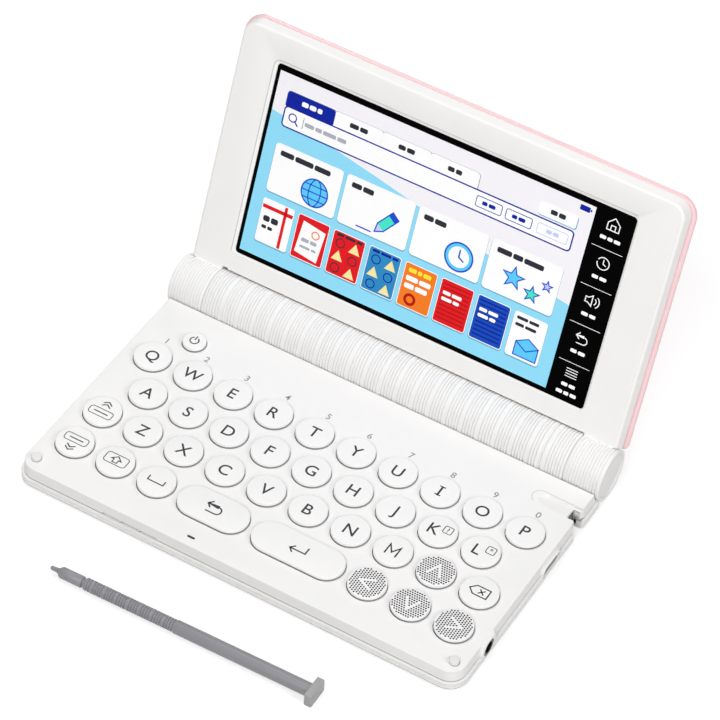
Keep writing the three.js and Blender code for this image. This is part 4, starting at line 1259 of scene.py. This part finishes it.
def search_row():
    """Four tabs with a button beside them, and the search field."""
    tab_words = ((2.2, 2.2, 1.6), (3, 2.6), (2.4, 2.6), (2.2, 2))
    for i in range(3, -1, -1):
        left = TAB_LEFT + i * TAB_PITCH
        right = left + TAB_WIDTH
        paper, print_tone = ("white", "dark") if i else ("navy", "white")
        card("line_grey", left - 0.12, right + 0.3, TAB_BOTTOM, TAB_TOP + 0.12, 1.2, 2)
        card(paper, left, right, TAB_BOTTOM, TAB_TOP, 1.1, 3)
        words(print_tone, left + TAB_WIDTH / 2 - sum(tab_words[i]) / 2, 69.7, tab_words[i], 1.5, 4)
    card("shadow", 30.1, 42.6, 67.7, 71.9, 0.8, 2)
    card("white", 30, 42.3, 68, 72.2, 0.8, 3)
    words("dark", 33.8, 70.1, (2.2, 2.2), 1.5, 4)
    card("navy", -54.3, 42.5, 60.4, 67.3, 1.3, 5)
    card("white", -53.85, 42.05, 60.85, 66.85, 0.9, 6)
    stroke("navy", circle(-51, 64.2, 1.25), 0.38, 7, closed=True)
    stroke("navy", [(-50.1, 63.3), (-49.1, 62.3)], 0.45, 7)
    stroke("dark", [(-47.4, 62.1), (-47.4, 65.7)], 0.16, 7)
    words("line_grey", -46.8, 63.85, (3.2, 2.2, 4.4, 3), 1.3, 7)
    for tone, left, right, start, lengths in (
            ("navy", 11, 19.4, 13, (1.7, 2.2)), ("navy", 20.8, 29.2, 22.8, (1.7, 2.2)),
            ("pale_blue", 31.1, 40.9, 34, (1.8, 1.8))):
        stroke(tone, rounded(left, right, 62.2, 65.5, 0.6, steps=6), 0.25, 7, closed=True)
        words(tone, start, 63.85, lengths, 1.2, 7)


def globe(x, v, r):
    fill("azure", circle(x, v, r, 40), 4)
    stroke("blue", circle(x, v, r, 40), 0.45, 5, closed=True)
    oval = [(x + 0.45 * (px - x), pv) for px, pv in circle(x, v, r)]
    stroke("blue", oval, 0.35, 5, closed=True)
    for share in (-0.5, 0, 0.5):
        half = r * math.sqrt(1 - share * share)
        stroke("blue", [(x - half, v + share * r), (x + half, v + share * r)], 0.35, 5)


def pencil(x, v, length):
    half, tip, end = 1.5, 2.6, length + 1.8
    for tone, points in (("mint", [(tip, -half), (length, -half), (length, half), (tip, half)]),
                         ("pale_blue", [(0, 0), (tip, -half), (tip, half)]),
                         ("blue", [(length, -half), (end, -half), (end, half), (length, half)])):
        fill(tone, turned(points, 52, x, v), 4)
    edge = [(0, 0), (tip, -half), (end, -half), (end, half), (tip, half)]
    stroke("blue", turned(edge, 52, x, v), 0.4, 5, closed=True)
    stroke("blue", [(x - 6, v - 0.6), (x - 1.2, v - 0.6)], 0.45, 5)


def clock(x, v, r):
    fill("azure", circle(x, v, r, 40), 4)
    stroke("blue", circle(x, v, r, 40), 0.5, 5, closed=True)
    fill("white", circle(x, v, r * 0.74), 5)
    stroke("blue", [(x, v + r * 0.5), (x, v), (x + r * 0.36, v - r * 0.2)], 0.5, 6)


def star(x, v, r, tone):
    reaches = [r * 0.42 if i % 2 else r for i in range(10)]
    points = [(x + reach * math.sin(math.pi * i / 5), v + reach * math.cos(math.pi * i / 5))
              for i, reach in enumerate(reaches)]
    fill(tone, points, 4)
    stroke("blue", points, 0.35, 5, closed=True)


def large_cards():
    lefts = [CARD_LEFT + i * CARD_PITCH for i in range(4)]
    for left, lengths in zip(lefts, ((4.6, 6.2, 5.4), (3.4, 3.6), (3.2, 3.8), (4.8, 3.2, 6.4))):
        right = left + CARD_WIDTH
        card("shadow", left - 0.1, right + 0.1, CARD_BOTTOM - 0.4, CARD_TOP, 1.2, 2)
        card("white", left, right, CARD_BOTTOM, CARD_TOP, 1.1, 3)
        words("dark", left + 2, 52.2, lengths, 1.7, 4)
    globe(lefts[0] + 15.5, 44.3, 4.4)
    pencil(lefts[1] + 12.4, 40.9, 7.4)
    clock(lefts[2] + 15.6, 44.5, 4.5)
    star(lefts[3] + 9, 45.6, 3.6, "azure")
    star(lefts[3] + 15.6, 43, 2.6, "mint")
    star(lefts[3] + 19.7, 47.4, 1.7, "pale_blue")


def note_tile(x):
    card("red", x + 0.3, x + 10.6, 33.2, 34.4, 0.1, 5)
    card("red", x + 7.6, x + 8.6, TILE_BOTTOM + 0.3, TILE_TOP - 0.3, 0.1, 5)
    words("dark", x + 1.3, 30, (2.2, 2.4), 1.9, 5)
    words("dark", x + 1.3, 27.2, (1.6, 1.6), 1.1, 5)


def page_tile(x):
    fill("white", [(x + 1.2, 24), (x + 9, 22.9), (x + 9.9, 33.4), (x + 2.1, 34.6)], 5)
    stroke("orange", circle(x + 6.9, 31.4, 1.2), 0.4, 6, closed=True)
    words("line_grey", x + 2.6, 28.6, (2.6, 2.2), 1.2, 6)
    words("line_grey", x + 2.5, 26.3, (3.6, 1.6), 0.8, 6)


def pattern_tile(x, tone):
    """Rings and triangles in turn, under a title."""
    for row in range(3):
        for column in range(2):
            cx, cv = x + 2.9 + 5 * column, 24.4 + 4.1 * row
            if (row + column) % 2:
                fill("cream", [(cx - 1.9, cv - 1.6), (cx + 1.9, cv - 1.6), (cx, cv + 1.7)], 5)
            else:
                stroke(tone, circle(cx, cv, 1.4), 0.35, 5, closed=True)
    words(tone, x + 1.2, 35.2, (2.4, 3.4, 2), 0.9, 5)


def button_tile(x):
    fill("brick", circle(x + 4, 24.9, 2), 5)
    fill("orange", circle(x + 4, 24.9, 1.1), 6)
    words("yellow", x + 1.5, 34.2, (2.6, 1.4, 2.6), 1.4, 5)
    words("white", x + 1.2, 31.5, (4, 3.8), 1.6, 5)
    words("white", x + 1.2, 29, (3.2, 4), 1.6, 5)


def striped_tile(x, tone):
    for row in range(9):
        card(tone, x + 0.9, x + 10, 23.4 + 1.4 * row, 23.9 + 1.4 * row, 0.1, 5)
    words("white", x + 1.3, 32, (2.6, 3.2), 1.1, 6)
    words("white", x + 1.3, 30, (3.4, 2), 1.1, 6)


def letter_tile(x):
    """Open envelope under two lines."""
    words("dark", x + 1, 34.6, (3.6, 3.2), 1, 5)
    words("dark", x + 1, 32.4, (2.8, 3.6), 1, 5)
    envelope = [(x + 2.6, 22.8), (x + 10, 22.8), (x + 10, 27.2), (x + 6.3, 29.2), (x + 2.6, 27.2)]
    fill("azure", envelope, 5)
    stroke("blue", [(x + 2.6, 27.2), (x + 6.3, 25), (x + 10, 27.2)], 0.35, 6)
    stroke("blue", envelope, 0.35, 6, closed=True)


def small_tiles():
    lefts = [TILE_PITCH * i + CARD_LEFT for i in range(8)]
    for left, tone in zip(lefts, ("white", "red", "red", "sea", "orange", "red", "cobalt", "white")):
        right = left + TILE_WIDTH
        card("shadow", left - 0.1, right + 0.1, TILE_BOTTOM - 0.45, TILE_TOP, 0.9, 2)
        card("white", left, right, TILE_BOTTOM, TILE_TOP, 0.8, 3)
        card(tone, left + 0.25, right - 0.25, TILE_BOTTOM + 0.25, TILE_TOP - 0.25, 0.6, 4)
    note_tile(lefts[0])
    page_tile(lefts[1])
    pattern_tile(lefts[2], "dark")
    pattern_tile(lefts[3], "navy")
    button_tile(lefts[4])
    striped_tile(lefts[5], "brick")
    striped_tile(lefts[6], "navy")
    letter_tile(lefts[7])


def side_keys():
    """Touch symbols on the black strip at the right of the picture."""
    line, x = 0.3, SIDE_X
    for v in (66, 53.3, 40.7, 28):
        stroke("white", [(x - 4.9, v), (x + 4.9, v)], 0.16, 0)
    for v, lengths in ((69.4, (2, 1.6, 2)), (56.8, (2, 2.2)), (44.4, (2.1, 2)), (31.9, (2, 2.2)),
                       (20.7, (2, 2)), (18, (2, 1.6, 2))):
        words("white", x - (sum(lengths) + WORD_GAP * (len(lengths) - 1)) / 2, v, lengths, 1.1, 0)
    house = [(x - 1.9, 72.2), (x - 1.9, 74.4), (x, 76.2), (x + 1.9, 74.4), (x + 1.9, 72.2)]
    stroke("white", house, line, 0, closed=True)
    stroke("white", [(x - 0.7, 72.3), (x - 0.7, 73.8), (x + 0.7, 73.8), (x + 0.7, 72.3)], line, 1)
    stroke("white", arc(x, 61.5, 1.9, 150, -180, 28), line, 0)
    stroke("white", [(x, 62.7), (x, 61.4), (x + 0.9, 61)], line, 1)
    horn = [(x - 2.2, 48.3), (x - 1.3, 48.3), (x - 0.1, 47.4), (x - 0.1, 50.8), (x - 1.3, 49.9),
            (x - 2.2, 49.9)]
    stroke("white", horn, line, 0, closed=True)
    for r in (1.1, 2.1):
        stroke("white", arc(x + 0.1, 49.1, r, -50, 50, 10), line, 0)
    hook = [(x - 1.7, 37.2), (x + 0.7, 37.2), *arc(x + 0.7, 36, 1.2, 90, -90, 10), (x - 1.2, 34.8)]
    stroke("white", hook, line, 0)
    stroke("white", [(x - 0.8, 38.2), (x - 1.8, 37.2), (x - 0.8, 36.2)], line, 1)
    for i in range(4):
        stroke("white", [(x - 1.8, 26 - 0.85 * i), (x + 1.8, 26 - 0.85 * i)], 0.24, 0)


def show_picture():
    background()
    search_row()
    large_cards()
    small_tiles()
    side_keys()
    for tone, shapes in pictures.items():
        piece(f"picture_{tone}", joined(*shapes), f"lit_{tone}", on=LID, angle=1)


# Stylus

def head_outline(inset):
    half_width, half_height = HEAD_HALF_WIDTH - inset, HEAD_HALF_HEIGHT - inset
    return rounded(-half_width, half_width, -half_height, half_height, 0.35, steps=5)


def stylus():
    """Turned stylus with a ringed grip and a flat head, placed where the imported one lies."""
    nib = [(NIB_LENGTH * (1 - math.cos(a)), CORE + NIB_RADIUS * math.sin(a))
           for a in (math.radians(22.5 * i) for i in range(5))]
    neck = [(2.3, 0.72), (2.9, 0.95), (3.5, 1.55), (3.8, 1.72), (10.6, 1.75), (10.8, 1.6), (10.85, 1.2),
            (GRIP_START, 1.2), (GRIP_START + 0.05, 1.8), (GRIP_START + 0.2, GRIP_RADIUS)]
    rings = [GRIP_START - 0.6 + group * RING_GROUP_PITCH + i * RING_PITCH
             for group in range(GRIP_GROUPS) for i in range(GRIP_RINGS)]
    whole_rings = [ring for ring in rings if ring > GRIP_START + 0.6]
    profile = [(0, CORE), *nib, *neck, *grooves(whole_rings, GRIP_RADIUS, RING_DEPTH, RING_WIDTH),
               (GRIP_END, GRIP_RADIUS), (GRIP_END + 0.4, STYLUS_RADIUS), (HEAD_START, STYLUS_RADIUS),
               (HEAD_START, CORE)]
    head = loft([(head_outline(inset), HEAD_START + along) for inset, along in (
        (0.3, 0), (0.05, 0.1), (0, 0.3), (0, HEAD_LENGTH - 0.35), (0.08, HEAD_LENGTH - 0.12),
        (0.3, HEAD_LENGTH))])
    rise = HEAD_HALF_HEIGHT - HEAD_START * math.sin(STYLUS_TILT)
    place = (base_space @ Matrix.Translation((STYLUS_X, STYLUS_Y, rise))
             @ Matrix.Rotation(STYLUS_TURN, 4, "Z") @ Matrix.Rotation(-STYLUS_TILT, 4, "Y"))
    on = (place, "stylus_body")
    piece("stylus_shaft", lathe(profile, 48), "stylus_grey", ["stylus"], on=on, angle=40)
    piece("stylus_head", moved(head, STAND), "stylus_light", on=on, angle=50)


upper_case()
scoop_edge_shade()
socket_bosses()
port_cover()
jack_collar()
for one_side in SIDES:
    bumper(one_side)
lower_case()
seam_shade()
stylus_trough()
screws()
key_symbols = function_symbols()
for key_node in KEY_NODES:
    key_cap(key_node)
    key_legend(key_node, key_symbols)
for arrow_direction in ("left", "right", "up", "down"):
    arrow_dots(f"key_{arrow_direction}", arrow_direction)
digits()
barrel()
bezel()
window_edge_shade()
for one_side in SIDES:
    barrel_end(one_side)
back_cover()
glass()
show_picture()
stylus()

# CAD pieces that keep their own shape
for side_name in SIDES.values():
    finish(NODES[f"battery_cell_{side_name}"], "cell_green")
    finish(NODES[f"battery_contact_{side_name}"], "steel")
    finish(NODES[f"hinge_shaft_{side_name}"], "steel")
    finish(NODES[f"foot_{side_name}"], "rubber_grey")
finish(NODES["main_board"], "board_green")
finish(NODES["key_mat"], "mat_grey")
finish(NODES["speaker"], "black_plastic")
finish(NODES["data_port"], "steel")
finish(NODES["display_module"], "display_grey")


# Stage

def seen_share(tree, outputs):
    """Largest of several Light Path outputs."""
    path = add_node(tree, "LightPath")
    value = path.outputs[outputs[0]]
    for name in outputs[1:]:
        larger = add_node(tree, "Math")
        larger.operation = "MAXIMUM"
        tree.links.new(value, larger.inputs[0])
        tree.links.new(path.outputs[name], larger.inputs[1])
        value = larger.outputs[0]
    return value


def mix_by_rays(tree, rays, other, seen):
    """One shader, or another one where these rays see it."""
    mix = add_node(tree, "MixShader")
    tree.links.new(seen_share(tree, rays), mix.inputs["Fac"])
    tree.links.new(other.outputs[0], mix.inputs[1])
    tree.links.new(seen.outputs[0], mix.inputs[2])
    return mix


def floor():
    """Matt pale floor, which looks white where it is lit and keeps the object's shadow."""
    mesh = bpy.data.meshes.new("floor")
    mesh.from_pydata([(-3, -3, 0), (3, -3, 0), (3, 3, 0), (-3, 3, 0)], [], [(0, 1, 2, 3)])
    obj = bpy.data.objects.new("floor", mesh)
    bpy.context.scene.collection.objects.link(obj)
    material = bpy.data.materials.new("floor_white")
    material.use_nodes = True
    tree = material.node_tree
    shader = set_inputs(tree.nodes["Principled BSDF"], Base_Color=(0.6, 0.6, 0.6, 1), Roughness=0.9,
                        Specular_IOR_Level=0)
    glow = add_node(tree, "Emission", Strength=0.52)
    dark = add_node(tree, "Emission", Strength=0)
    lift = mix_by_rays(tree, ("Is Camera Ray", "Is Glossy Ray", "Is Transmission Ray"), dark, glow)
    total = add_node(tree, "AddShader")
    tree.links.new(shader.outputs[0], total.inputs[0])
    tree.links.new(lift.outputs[0], total.inputs[1])
    tree.links.new(total.outputs[0], tree.nodes["Material Output"].inputs["Surface"])
    mesh.materials.append(material)


def world():
    """Dim white light all round, behind a white backdrop."""
    sky = bpy.data.worlds.new("studio")
    bpy.context.scene.world = sky
    sky.use_nodes = True
    tree = sky.node_tree
    light = set_inputs(tree.nodes["Background"], Color=(1, 1, 1, 1), Strength=0.2)
    backdrop = add_node(tree, "Background", Color=(1, 1, 1, 1), Strength=1)
    mix = mix_by_rays(tree, ("Is Camera Ray", "Is Transmission Ray"), light, backdrop)
    tree.links.new(mix.outputs[0], tree.nodes["World Output"].inputs["Surface"])


def lamp(name, direction, size, power):
    """Square lamp at a fixed distance that faces the object."""
    light = bpy.data.lights.new(name, "AREA")
    light.size = size
    light.energy = power
    obj = bpy.data.objects.new(name, light)
    toward = Vector(direction).normalized()
    obj.location = toward * 1.3
    obj.rotation_euler = toward.to_track_quat("Z", "Y").to_euler()
    bpy.context.scene.collection.objects.link(obj)


def camera():
    data = bpy.data.cameras.new("camera")
    data.lens = LENS
    data.sensor_width = 36
    data.clip_end = 10
    obj = bpy.data.objects.new("camera", data)
    back = CAMERA_RIGHT.cross(CAMERA_UP)
    turn = Matrix((CAMERA_RIGHT, CAMERA_UP, back)).transposed().to_4x4()
    obj.matrix_world = Matrix.Translation(base_space @ Vector(CAMERA_PLACE)) @ turn
    bpy.context.scene.collection.objects.link(obj)
    bpy.context.scene.camera = obj


floor()
world()
lamp("top_light", (-0.4, 0.25, 0.88), 0.3, 3.8)
lamp("front_light", (0.05, -0.68, 0.73), 0.7, 9)
lamp("right_light", (0.8, -0.1, 0.59), 0.6, 6.2)
lamp("back_light", (-0.25, 0.9, 0.36), 0.6, 3)
camera()
bpy.context.scene.view_settings.view_transform = "Standard"
